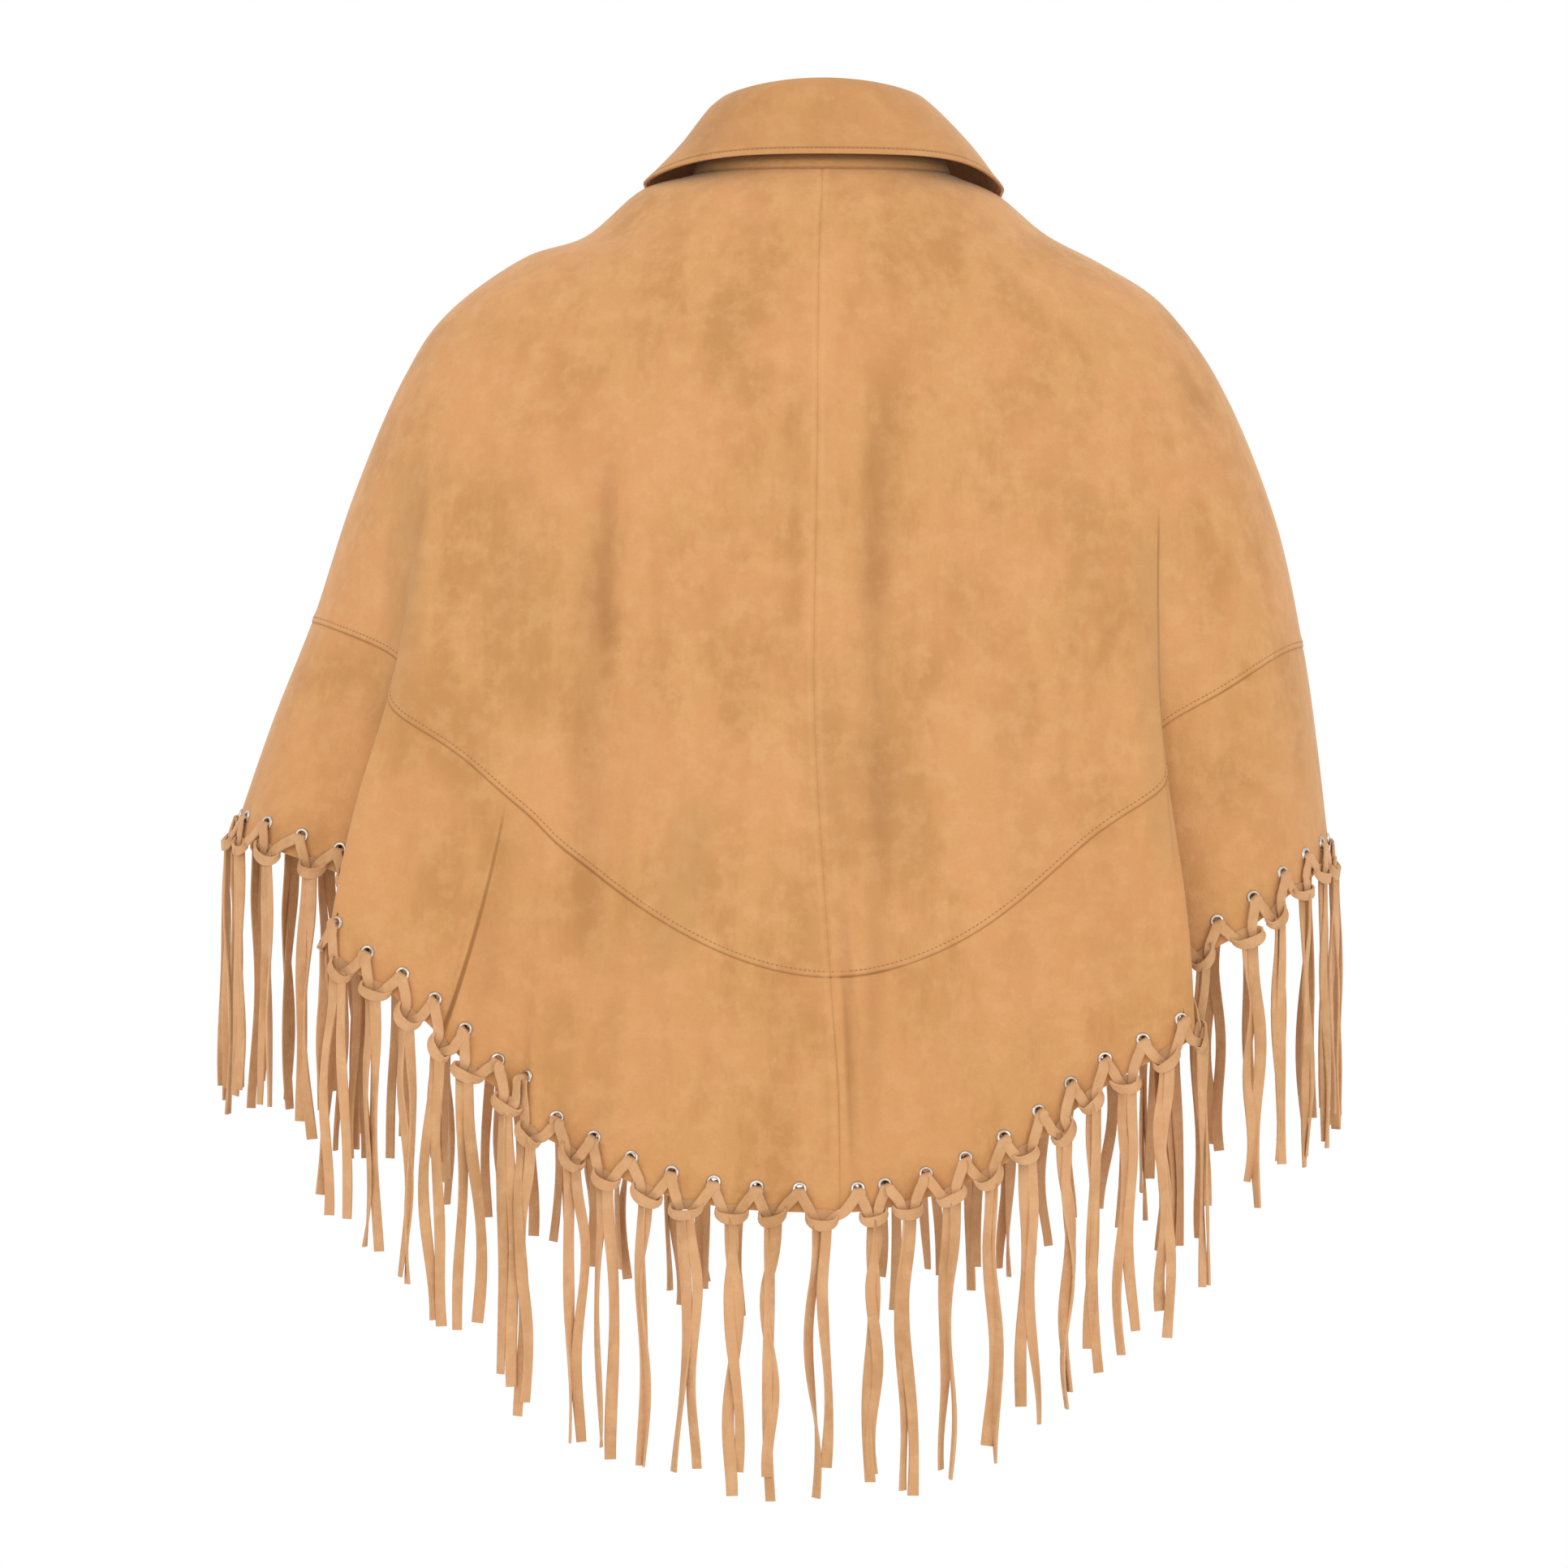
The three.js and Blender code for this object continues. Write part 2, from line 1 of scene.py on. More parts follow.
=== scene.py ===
import bpy
import numpy as np
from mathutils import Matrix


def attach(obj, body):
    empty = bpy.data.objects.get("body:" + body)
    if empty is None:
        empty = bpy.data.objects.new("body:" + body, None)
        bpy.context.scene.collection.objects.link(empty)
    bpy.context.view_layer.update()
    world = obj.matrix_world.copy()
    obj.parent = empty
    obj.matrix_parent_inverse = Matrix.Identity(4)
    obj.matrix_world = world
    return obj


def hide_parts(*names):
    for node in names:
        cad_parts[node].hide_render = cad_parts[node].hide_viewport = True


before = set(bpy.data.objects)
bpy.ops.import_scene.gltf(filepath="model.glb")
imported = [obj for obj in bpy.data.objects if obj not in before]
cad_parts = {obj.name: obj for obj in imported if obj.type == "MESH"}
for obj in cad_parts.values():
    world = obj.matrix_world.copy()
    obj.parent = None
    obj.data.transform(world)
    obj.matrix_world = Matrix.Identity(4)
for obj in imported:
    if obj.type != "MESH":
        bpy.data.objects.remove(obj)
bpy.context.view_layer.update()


# Rows of a table as dictionaries, under the names of its columns.
def rowsOf(columns, *rows):
    return [dict(zip(columns.split(), row)) for row in rows]


# Rings of the cloth from the neck seam to the hem, in millimetres: half width and height at each
# shoulder line, distance behind and height at centre back, the same at centre front, squareness of
# the plan, how pointed and how spread the drop is, half the front opening, and how far the centre back
# hangs to the right.
capeRings = {
    "at": [0.00, 0.07, 0.15, 0.22, 0.29, 0.36, 0.44, 0.58, 0.74, 0.87, 1.00],
    "left": [78, 107, 142, 176, 209, 232, 250, 279, 306, 329, 352],
    "leftZ": [6, -2, -31, -42, -63, -85, -115, -180, -262, -322, -390],
    "right": [78, 105, 136, 168, 200, 224, 243, 271, 288, 297, 304],
    "rightZ": [6, -5, -30, -47, -67, -95, -127, -198, -277, -340, -404],
    "back": [62, 77, 92, 104, 115, 125, 133, 141, 147, 150, 152],
    "backZ": [4, -16, -44, -76, -112, -152, -205, -318, -469, -534, -603],
    "front": [66, 80, 96, 108, 118, 125, 130, 134, 133, 132, 131],
    "frontZ": [-52, -72, -98, -126, -152, -186, -224, -305, -400, -462, -528],
    "square": [2.00, 2.00, 2.05, 2.10, 2.15, 2.20, 2.30, 2.45, 2.60, 2.65, 2.70],
    "tipLeft": [2.0, 2.0, 2.0, 2.0, 2.0, 2.0, 2.0, 1.9, 1.9, 2.45, 3.0],
    "spreadLeft": [1.0, 1.0, 1.0, 1.0, 1.1, 1.2, 1.3, 1.5, 1.45, 1.85, 2.2],
    "tipRight": [2.0, 2.0, 2.0, 2.0, 2.0, 2.0, 1.9, 1.8, 2.05, 2.0, 2.0],
    "spreadRight": [1.0, 1.0, 1.0, 1.0, 1.1, 1.2, 1.4, 1.6, 1.72, 1.55, 1.45],
    "opening": [8, 8, 9, 10, 11, 12, 13, 15, 17, 19, 22],
    "seamX": [0, -0.5, -2, -2.6, -3, -3.2, -4, -5, 4, 8.5, 9.6],
}

# Folds: where the line lies halfway down and at the hem, where it starts and is full, how far the
# crest towards the centre stands out, how far the trough beyond it goes in, how far the crest laps
# over the trough, and the width of one flank.
capeFolds = rowsOf(
    "half midX hemX start full crest trough lap flank",
    ("back", -226, -279, 0.44, 0.95, 8, 22, 22, 23),
    ("back", 191, 203, 0.44, 0.95, 8, 22, 22, 23),
    ("back", -150, -176, 0.62, 1.0, 5, 5, 4, 14),
    ("back", -122, -128, 0.4, 0.9, 0, 6, 0, 26),
    ("back", 26, 30, 0.2, 0.9, 0, 6, 0, 20),
    ("back", 96, 118, 0.5, 1.0, 5, 3, 0, 24),
    ("front", -206, -232, 0.42, 0.95, 9, 17, 15, 24),
    ("front", 178, 196, 0.42, 0.95, 9, 17, 14, 24),
    ("front", -112, -126, 0.36, 1.0, 7, 8, 3, 24),
    ("front", 98, 108, 0.4, 1.0, 8, 7, 3, 23),
)
foldShape = {
    "apart": 0.8,  # crest and trough on either side of the line, in flanks
    "fullLap": 2.33,  # makes the greatest sideways move one lap
}

# Creases pressed into the suede: both ends, how wide, how far out (negative goes in), how far the
# middle bows sideways, and how much painted shade lies along it (negative tone is painted light).
creaseColumns = "fromX fromZ toX toZ wide out bow tone"
backCreases = rowsOf(
    creaseColumns,
    (-181, -352, -222, -520, 2.6, -1.6, 3, 0.2),
    (-170, -350, -202, -520, 15, -2.2, 3, 0.3),
    (-189, -370, -228, -510, 5, 1.0, 3, -0.2),
    (-127, -150, -134, -520, 15, -1.2, 5, 0.34),
    (-121, -140, -124, -310, 7, -0.7, 2, 0.3),
    (-112, -300, -122, -560, 6, -0.7, -3, 0.2),
    (42, -70, 30, -420, 11, -1.3, 4, 0.34),
    (31, -130, 26, -290, 9, -0.7, 2, 0.2),
    (34, -300, 22, -600, 9, -1.2, -3, 0.34),
    (58, -400, 46, -540, 8, 0.9, 2, -0.12),
    (-14, -96, -16, -330, 5, -0.6, 1, 0.24),
    (3, -26, 6, -250, 6, 0.4, 1, -0.2),
    (195, -160, 206, -430, 3.2, -0.8, 5, 0.12),
    (-230, -150, -252, -300, 6, -0.7, -3, 0.25),
    (206, -98, 236, -150, 7, -0.9, 2, 0.25),
    (214, -120, 226, -190, 4, -0.6, -2, 0.2),
    (180, -255, 152, -300, 6, -0.8, 2, 0.22),
    (188, -305, 172, -338, 4, -0.6, -2, 0.2),
    (-128, -268, -100, -250, 4, -0.5, 2, 0.15),
    (86, -420, 104, -560, 16, 1.4, 4, -0.1),
    (150, -380, 176, -500, 14, -1.4, -3, 0.16),
    (-262, -250, -300, -360, 12, -1.2, 3, 0.16),
    (232, -250, 240, -390, 12, -1.2, -3, 0.14),
    (262, -300, 266, -400, 8, 0.9, 2, -0.1),
    (-70, -560, -62, -500, 9, -0.9, 1, 0.12),
    (8, -330, 12, -600, 4.5, -0.6, -2, 0.26),
    (15, -430, 17, -606, 3.4, -0.7, 1.5, 0.34),
    (1, -470, 4, -602, 4, -0.5, -1, 0.24),
    (60, -236, 44, -330, 5, -0.5, 2, 0.16),
    (-52, -60, -74, -150, 8, -0.7, -2, 0.14),
    (-96, -210, -90, -300, 5, -0.5, 2, 0.15),
    (118, -130, 138, -210, 7, -0.7, 3, 0.13),
    (168, -310, 150, -352, 3.5, -0.5, -1.5, 0.2),
    (160, -240, 178, -300, 5, -0.5, 2, 0.14),
)
frontCreases = rowsOf(
    creaseColumns,
    (-60, -110, -196, -300, 15, -1.8, 8, 0.16),
    (62, -118, 172, -280, 14, -1.6, -7, 0.15),
    (-92, -200, -120, -470, 13, -1.5, 4, 0.2),
    (88, -210, 104, -450, 12, -1.4, -4, 0.2),
    (-36, -300, -52, -520, 9, -1.0, 3, 0.16),
    (48, -330, 60, -500, 10, 1.0, -2, -0.08),
    (-210, -110, -252, -190, 7, -0.8, 3, 0.18),
    (205, -120, 240, -210, 8, -0.9, -3, 0.18),
    (-262, -240, -296, -370, 11, -1.2, 3, 0.14),
    (248, -260, 262, -380, 10, -1.0, -2, 0.14),
    (-160, -330, -178, -460, 8, 1.0, 2, -0.08),
)
creaseShape = {
    "rise": 0.3,  # share of its length over which a crease comes and goes
    "sides": 30,  # depth over which the back's creases give way to the front's
}

clothCut = {
    "thick": 1.5,  # suede
    "fallThick": 1.9,  # collar fall, two layers pressed flat
    "layerGap": 0.3,  # between two layers at a lap
    "borderAt": 0.74,  # share of the way down where the border is sewn on
    "uneven": 0.5,  # height of the slow unevenness
    "unevenCollar": 0.2,
    "rimBulge": 0.1,  # how far a rim is rounded, in thicknesses
    "rimTone": -0.1,  # paler at the rim
    "insideTone": 0.25,  # darker inside
    "pitch": 4.2,  # widest spacing of the surface's points
    "pitchAround": 0.12,  # place round the cape where the rows are spaced
    "pitchDown": 0.86,  # place on the way down where the columns are spaced
    "foldCrowding": 2.2,  # how much closer the points stand at a fold
    "foldReach": 26,  # how far from its line that goes
    "besideSeam": [0.5, 1.0, 1.6, 2.3, 3.0, 3.4, 3.8, 4.2, 4.8, 5.6, 6.6, 8.0],  # extra places
    "evenFrom": 9.5,  # from here the pitch is even
    "underSeam": [0.35, 0.9, 3.0, 5.5],  # places on a lap
    "lap": 6,
}

# Beside each kind of edge: how high the turned edge is raised, how many layers deep a lap is sunk, and
# bells of relief and of tone, each with its height, distance from the edge and width. The tone is painted
# shade in the grooves of seams and stitching, and painted light on the raised edges beside them. The cut
# edge's paler tone is the raw suede's own.
edgeKinds = {
    "lapped": {  # turned edge over the border, with the seam allowance under it
        "raised": 0.45, "relief": [(-0.45, 0, 0.6), (-0.2, 3, 0.7)],
        "tone": [(0.6, 0, 0.8), (0.12, 3, 0.7)]},
    "underTop": {  # border's edge, sewn under the panel
        "sunk": 1, "relief": [(-0.25, 0.5, 0.9)], "tone": [(0.65, 0, 0.8)]},
    "underSide": {  # side edge, sewn under its neighbour
        "sunk": 2, "relief": [(-0.2, 0.6, 0.8)], "tone": [(0.34, 0, 0.6), (-0.3, 2.2, 1.3)]},
    "plain": {
        "relief": [(0.2, 4, 3), (-0.3, 0, 0.6)], "tone": [(0.34, 0, 0.6), (-0.3, 2.6, 1.5)]},
    "stitched": {  # turned edge with a row of topstitching
        "raised": 0.4, "relief": [(-0.6, 3.8, 0.7), (-0.4, 0, 0.6)],
        "tone": [(0.5, 3.8, 0.7), (-0.12, 2, 1.2)]},
    "cut": {"tone": [(-0.3, 0, 0.9)]},  # raw edge, paler
    "neck": {},
}
edgeShape = {
    "turned": 4,  # width of a turned edge
    "turnedFade": 3,  # over which its height falls away
    "sinkFrom": 1.1,  # a lap is fully sunk this far past the seam
}

collarRings = {
    "stand": {
        "at": [0.0, 0.5, 1.0],
        "left": [78, 68, 60], "leftZ": [6.7, 28, 48],
        "right": [78, 69, 61], "rightZ": [6.7, 28, 48],
        "back": [62, 53, 47], "backZ": [4.7, 31, 56],
        "front": [66, 61, 56], "frontZ": [-51.2, -39, -28],
        "opening": [9, 9, 9],
    },
    "fall": {
        "at": [0.0, 0.12, 0.5, 1.0],
        "left": [61, 66, 84, 107], "leftZ": [52.5, 48.5, 26, 2],
        "right": [62, 67, 89, 110], "rightZ": [52.5, 48.5, 26, -2],
        "back": [46.5, 52.5, 60.5, 68], "backZ": [59.5, 55, 35, 12],
        "front": [58.5, 67, 90, 120], "frontZ": [-20, -25, -68, -126],
        "opening": [9, 14, 32, 50],
        "levelLeft": [0, 0, 0.5, 2], "levelRight": [0, 0, 1.2, 4.5],  # how long the edge stays level behind
    },
}


# A smooth curve through each column of a table: a cubic between two rows whose slopes at the rows
# are the mean of the slopes on each side, weighted by the distance to the other row.
def rowsAt(table, place):
    place = np.asarray(place, float)
    at = np.array(table["at"], float)
    steps = np.diff(at)
    i = np.clip(np.searchsorted(at, place, side="right") - 1, 0, len(at) - 2)
    t = (place - at[i]) / steps[i]
    found = {}
    for name, column in table.items():
        if name == "at":
            continue
        y = np.array(column, float)
        slopes = np.diff(y) / steps
        tangents = np.concatenate([slopes[:1], (slopes[1:] * steps[:-1] + slopes[:-1] * steps[1:])
                                   / (steps[1:] + steps[:-1]), slopes[-1:]])
        found[name] = ((2 * t**3 - 3 * t**2 + 1) * y[i] + (t**3 - 2 * t**2 + t) * steps[i] * tangents[i]
                       + (3 * t**2 - 2 * t**3) * y[i + 1] + (t**3 - t**2) * steps[i] * tangents[i + 1])
    return found


def eased(t):
    held = np.clip(t, 0, 1)
    return held * held * (3 - 2 * held)


def length(v):
    return np.linalg.norm(v, axis=-1)


def unit(v):
    return v / np.maximum(length(v), 1e-12)[..., None]


# Distance along a line of points, from its first.
def lengthsAlong(points):
    return np.concatenate([[0], np.cumsum(length(np.diff(points, axis=0)))])


# A point of one ring, a superellipse in plan: around runs from -1 at the left front edge through 0
# at centre back to 1 at the right front edge. The height climbs from the centre to the shoulder.
def ringPoint(rings, around, down):
    around, down = np.broadcast_arrays(np.asarray(around, float), np.asarray(down, float))
    row = rowsAt(rings, down)
    isLeft = around < 0
    side = np.where(isLeft, -1.0, 1.0)
    halfWidth = np.where(isLeft, row["left"], row["right"])
    sideZ = np.where(isLeft, row["leftZ"], row["rightZ"])
    square = row.get("square", np.full_like(halfWidth, 2.0))
    openAngle = (row["opening"] / halfWidth) ** (square / 2)
    angle = np.abs(around) * (np.pi - openAngle)
    across = np.minimum(1, np.abs(np.sin(angle)) ** (2 / square))
    along = np.minimum(1, np.abs(np.cos(angle)) ** (2 / square))
    isBack = np.cos(angle) > 0
    depth = np.where(isBack, row["back"], row["front"])
    endZ = np.where(isBack, row["backZ"], row["frontZ"])
    climb = across**2
    if "levelLeft" in row:
        climb = across ** (2 + isBack * np.where(isLeft, row["levelLeft"], row["levelRight"]))
    if "tipLeft" in row:
        tip = np.where(isLeft, row["tipLeft"], row["tipRight"])
        spread = np.where(isLeft, row["spreadLeft"], row["spreadRight"])
        climb = 1 - np.maximum(0, 1 - across**tip) ** spread
    forward = np.where(isBack, -1.0, 1.0)
    hang = np.where(isBack, row.get("seamX", 0), 0) * (1 - across**2) ** 3
    point = np.stack([side * halfWidth * across + hang, forward * depth * along,
                      endZ + (sideZ - endZ) * climb], -1)
    outward = unit(np.stack([side * across ** (square - 1) / halfWidth,
                             forward * along ** (square - 1) / depth, np.zeros_like(depth)], -1))
    return point, outward, side, isBack, halfWidth * across


# Where a fold's line lies at a place on the way down.
def foldLine(fold, down):
    return fold["midX"] + (fold["hemX"] - fold["midX"]) * (down - 0.5) / 0.5


# A point of the cape: its ring's point, moved out or in and sideways by each fold. Across a fold the
# move out is a bell for the crest less a bell for the trough, and the sideways move laps one over
# the other.
def capePoint(around, down):
    point, outward, side, isBack, flatX = ringPoint(capeRings, around, down)
    sideways = np.stack([-outward[..., 1], outward[..., 0], np.zeros_like(side)], -1)
    sideways = sideways * np.where(sideways[..., 0] * side < 0, -1.0, 1.0)[..., None]
    apart = foldShape["apart"]
    out = np.zeros_like(flatX)
    lapped = np.zeros_like(flatX)
    for fold in capeFolds:
        here = ((fold["half"] == "back") == isBack) & (np.sign(fold["hemX"]) == side)
        depth = np.where(here, eased((down - fold["start"]) / (fold["full"] - fold["start"])), 0)
        away = (flatX - np.abs(foldLine(fold, down))) / fold["flank"]
        out += depth * (fold["crest"] * np.exp(-((away + apart) ** 2))
                        - fold["trough"] * np.exp(-((away - apart) ** 2)))
        lapped -= depth * fold["lap"] * foldShape["fullLap"] * away * np.exp(-away * away)
    return point + outward * out[..., None] + sideways * lapped[..., None]


def standPoint(around, up):
    return ringPoint(collarRings["stand"], around, up)[0]


def fallPoint(around, down):
    return ringPoint(collarRings["fall"], around, down)[0]


# The two directions of a surface at its points, from small steps either way, and its outward normal.
def directions(surface, around, down, downSign=1):
    step = 1e-4
    a0, a1 = np.maximum(-1, around - step), np.minimum(1, around + step)
    d0, d1 = np.maximum(0, down - step), np.minimum(1, down + step)
    across = (surface(a1, down) - surface(a0, down)) / (a1 - a0)[..., None]
    along = (surface(around, d1) - surface(around, d0)) / (d1 - d0)[..., None]
    return across, along, unit(np.cross(along, across)) * downSign


# Millimetres for each unit of down, square to across, and for each unit of around, square to along.
def squareScales(across, along):
    square = length(np.cross(across, along))
    return square / length(across), square / length(along)


# How far creases move points out, and the shade painted along them: across a crease a bell of its
# width, and along it a rise from nothing at both ends.
def creased(point):
    out = np.zeros(point.shape[:-1])
    tone = np.zeros(point.shape[:-1])
    rise = creaseShape["rise"]
    for table, half in ((backCreases, -1), (frontCreases, 1)):
        here = eased(0.5 + half * point[..., 1] / creaseShape["sides"])
        for crease in table:
            start = np.array([crease["fromX"], crease["fromZ"]], float)
            run = np.array([crease["toX"], crease["toZ"]], float) - start
            offset = point[..., [0, 2]] - start
            share = offset @ run / length(run) ** 2
            sideways = (offset[..., 0] * run[1] - offset[..., 1] * run[0]) / length(run)
            sideways = sideways - crease["bow"] * np.sin(np.pi * np.clip(share, 0, 1))
            amount = here * eased(share / rise) * eased((1 - share) / rise)
            amount = amount * np.exp(-(sideways / crease["wide"]) ** 2)
            out += crease["out"] * amount
            tone += crease["tone"] * amount
    return out, tone


# Slow unevenness of hanging suede: a few crossed waves of different lengths.
def uneven(point):
    x, y, z = point[..., 0], point[..., 1], point[..., 2]
    return (0.5 * np.sin(x / 31 + np.sin(z / 57) + y / 43) * np.sin(z / 83 + 1.3)
            + 0.32 * np.sin(x / 17 - z / 61 + 0.7) * np.sin(z / 39 + y / 29))


# Relief and tone of the suede's face: its unevenness, and its creases with their painted shade.
def faceRelief(point, hasCreases=True):
    if not hasCreases:
        return clothCut["unevenCollar"] * uneven(point), np.zeros(point.shape[:-1])
    out, tone = creased(point)
    return out + clothCut["uneven"] * uneven(point), tone


# The relief and tone beside an edge, by the distance from it in millimetres. A lap goes on past the
# seam, sunk under the neighbouring panel.
def edgeRelief(kind, distance):
    edge = edgeKinds[kind]

    def bells(rows):
        found = 0 * distance
        for height, middle, width in rows:
            found = found + height * np.exp(-(((distance - middle) / width) ** 2))
        return found

    turned = 1 - eased((distance - edgeShape["turned"]) / edgeShape["turnedFade"])
    sunk = (clothCut["thick"] + clothCut["layerGap"]) * (1 - eased(distance + edgeShape["sinkFrom"]))
    relief = edge.get("raised", 0) * turned - edge.get("sunk", 0) * sunk + bells(edge.get("relief", []))
    return relief, bells(edge.get("tone", []))


# Places from one end to the other at an even pitch of length, closer by 1 + crowd, with extra places
# beside the ends that are sewn. A lap goes on past an end by its length in millimetres.
def spacedPlaces(places, points, pitch, crowd=0, near=(True, True), laps=(0, 0)):
    lengths = lengthsAlong(points)
    steps = length(np.diff(points, axis=0))
    crowd = crowd + np.zeros(len(places))
    wanted = np.concatenate([[0], np.cumsum(steps * (1 + crowd[1:]) / pitch)])
    at = np.interp(np.linspace(0, wanted[-1], int(np.ceil(wanted[-1])) + 1), wanted, lengths)
    beside, under = np.array(clothCut["besideSeam"]), np.array(clothCut["underSeam"])
    if near[0]:
        at = np.concatenate([-under[under <= laps[0]][::-1], [0], beside, at[at > clothCut["evenFrom"]]])
    if near[1]:
        at = np.concatenate([at[at < lengths[-1] - clothCut["evenFrom"]], lengths[-1] - beside[::-1],
                             [lengths[-1]], lengths[-1] + under[under <= laps[1]]])
    return (np.interp(at, lengths, places)
            + np.minimum(at, 0) * (places[1] - places[0]) / steps[0]
            + np.maximum(at - lengths[-1], 0) * (places[-1] - places[-2]) / steps[-1])


# Turns every face of a closed mesh over where its signed volume says that it is inside out.
def facingOut(vertices, quads):
    a, b, c, d = (vertices[quads[:, k]] for k in range(4))
    volume = (a * np.cross(b, c)).sum() + (a * np.cross(c, d)).sum()
    return quads if volume > 0 else quads[:, ::-1]


def makeMesh(name, vertices, quads, tone=None, sharpAngle=0.8):
    vertices = np.asarray(vertices, float).reshape(-1, 3)
    mesh = bpy.data.meshes.new(name)
    mesh.from_pydata((vertices / 1000).tolist(), [], np.asarray(quads).tolist())
    if tone is not None:
        layer = mesh.attributes.new("tone", "FLOAT", "POINT")
        layer.data.foreach_set("value", np.asarray(tone, np.float32).ravel())
    mesh.polygons.foreach_set("use_smooth", np.ones(len(mesh.polygons), bool))
    mesh.set_sharp_from_angle(angle=sharpAngle)
    mesh.update()
    piece = bpy.data.objects.new(name, mesh)
    bpy.context.scene.collection.objects.link(piece)
    return piece


# Quads of a grid of rows and columns.
def gridQuads(rows, columns):
    at = np.arange((rows - 1) * columns).reshape(rows - 1, columns)[:, :-1]
    return np.stack([at, at + columns, at + columns + 1, at + 1], -1).reshape(-1, 4)


# Quads of a shell whose outer and inner grids come first and the middle line of its rim last: both
# faces without the cells that are cut out, walls round those cells, and the rim. Also the rim's points.
def shellQuads(rows, columns, cut):
    count = rows * columns
    cells = gridQuads(rows, columns)
    kept = np.delete(cells, cut, axis=0)
    ahead = np.roll(cells[cut], -1, axis=1)
    walls = np.stack([cells[cut], ahead, ahead + count, cells[cut] + count], -1).reshape(-1, 4)
    index = np.arange(count).reshape(rows, columns)
    rim = np.concatenate([index[0, :-1], index[:-1, -1], index[-1, :0:-1], index[:0:-1, 0]])
    rimAhead = np.roll(rim, -1)
    middle = 2 * count + np.arange(len(rim))
    middleAhead = np.roll(middle, -1)
    outerRim = np.stack([rim, rimAhead, middleAhead, middle], -1)
    innerRim = np.stack([middle, middleAhead, rimAhead + count, rim + count], -1)
    return np.concatenate([kept, (kept + count)[:, ::-1], walls, outerRim, innerRim]), rim


# Moves the corners of the cell nearest to each hole round it, and gives those cells' numbers. A hole
# has its place down and around and half its size each way.
def openHoles(down, around, rows, columns, holes):
    middles = [(ends[1:] + ends[:-1]) / 2 for ends in (rows, columns)]
    row, column = (np.abs(middles[k] - holes[:, k][:, None]).argmin(axis=1) for k in (0, 1))
    for rowStep, columnStep in ((0, 0), (0, 1), (1, 0), (1, 1)):
        corner = (row + rowStep, column + columnStep)
        down[corner] = holes[:, 0] + (2 * rowStep - 1) * holes[:, 2]
        around[corner] = holes[:, 1] + (2 * columnStep - 1) * holes[:, 3]
    return row * (len(columns) - 1) + column


# Flat size in metres of a grid of points, along its longest row and column, and its area.
def flatSize(point):
    steps = np.diff(point, axis=1), np.diff(point, axis=0)
    size = [float(length(step).sum(axis=axis).max()) / 1000 for step, axis in zip(steps, (1, 0))]
    area = float(length(np.cross(steps[1][:, :-1], steps[0][:-1])).sum()) / 1e6
    return tuple(size), min(area, size[0] * size[1])


# A shell of suede over a grid of places: the outer face is the surface with its relief, the inner face
# lies one thickness inside it, and a rounded rim joins them, with walls where holes are cut.
def clothShell(name, surface, columns, rows, edges, seams, downSign=1, thick=clothCut["thick"],
               creases=True, holes=np.zeros((0, 4)), shade=None, insideShade=None):
    down, around = (places.copy() for places in np.meshgrid(rows, columns, indexing="ij"))
    cut = openHoles(down, around, rows, columns, holes)
    across, along, normal = directions(surface, around, down, downSign)
    point = surface(around, down)
    perDown, perAround = squareScales(across, along)
    distances = {"top": (down - seams["top"]) * perDown, "bottom": (seams["bottom"] - down) * perDown,
                 "first": (around - seams["first"]) * perAround,
                 "last": (seams["last"] - around) * perAround}
    out, tone = faceRelief(point, creases)
    if shade is not None:
        tone += shade(around, down)
    for edge, distance in distances.items():
        edgeOut, edgeTone = edgeRelief(edges[edge], distance)
        out += edgeOut
        tone += edgeTone
    outer = point + normal * out[..., None]
    inwards = unit(np.cross(np.gradient(outer, axis=0), np.gradient(outer, axis=1)) * -downSign)
    inner = outer + inwards * thick
    quads, rim = shellQuads(len(rows), len(columns), cut)
    edgeStep = np.zeros_like(outer)
    for step, grid in ((edgeStep, point), (edgeStep.swapaxes(0, 1), point.swapaxes(0, 1))):
        step[0] += unit(grid[0] - grid[1])
        step[-1] += unit(grid[-1] - grid[-2])
    rimPoints = ((outer + inner) / 2 + edgeStep * thick * clothCut["rimBulge"]).reshape(-1, 3)[rim]
    vertices = np.concatenate([outer.reshape(-1, 3), inner.reshape(-1, 3), rimPoints])
    inside = np.full(tone.shape, clothCut["insideTone"])
    if insideShade is not None:
        inside += insideShade(around, down)
    tones = np.concatenate([tone.ravel(), inside.ravel(), tone.ravel()[rim] + clothCut["rimTone"]])
    return makeMesh(name, vertices, facingOut(vertices, quads), tones), *flatSize(point)


# A wrapped socket that carries one number, so that shader maths reads as an expression.
class Level:
    def __init__(self, look, socket):
        self.look = look
        self.socket = socket

    def made(self, operation, left, right):
        return self.look.level("ShaderNodeMath", {"operation": operation}, {0: left, 1: right})

    def __add__(self, other):
        return self.made("ADD", self, other)

    def __radd__(self, other):
        return self.made("ADD", other, self)

    def __sub__(self, other):
        return self.made("SUBTRACT", self, other)

    def __rsub__(self, other):
        return self.made("SUBTRACT", other, self)

    def __mul__(self, other):
        return self.made("MULTIPLY", self, other)

    def __rmul__(self, other):
        return self.made("MULTIPLY", other, self)

    def __truediv__(self, other):
        return self.made("DIVIDE", self, other)

    def __rtruediv__(self, other):
        return self.made("DIVIDE", other, self)


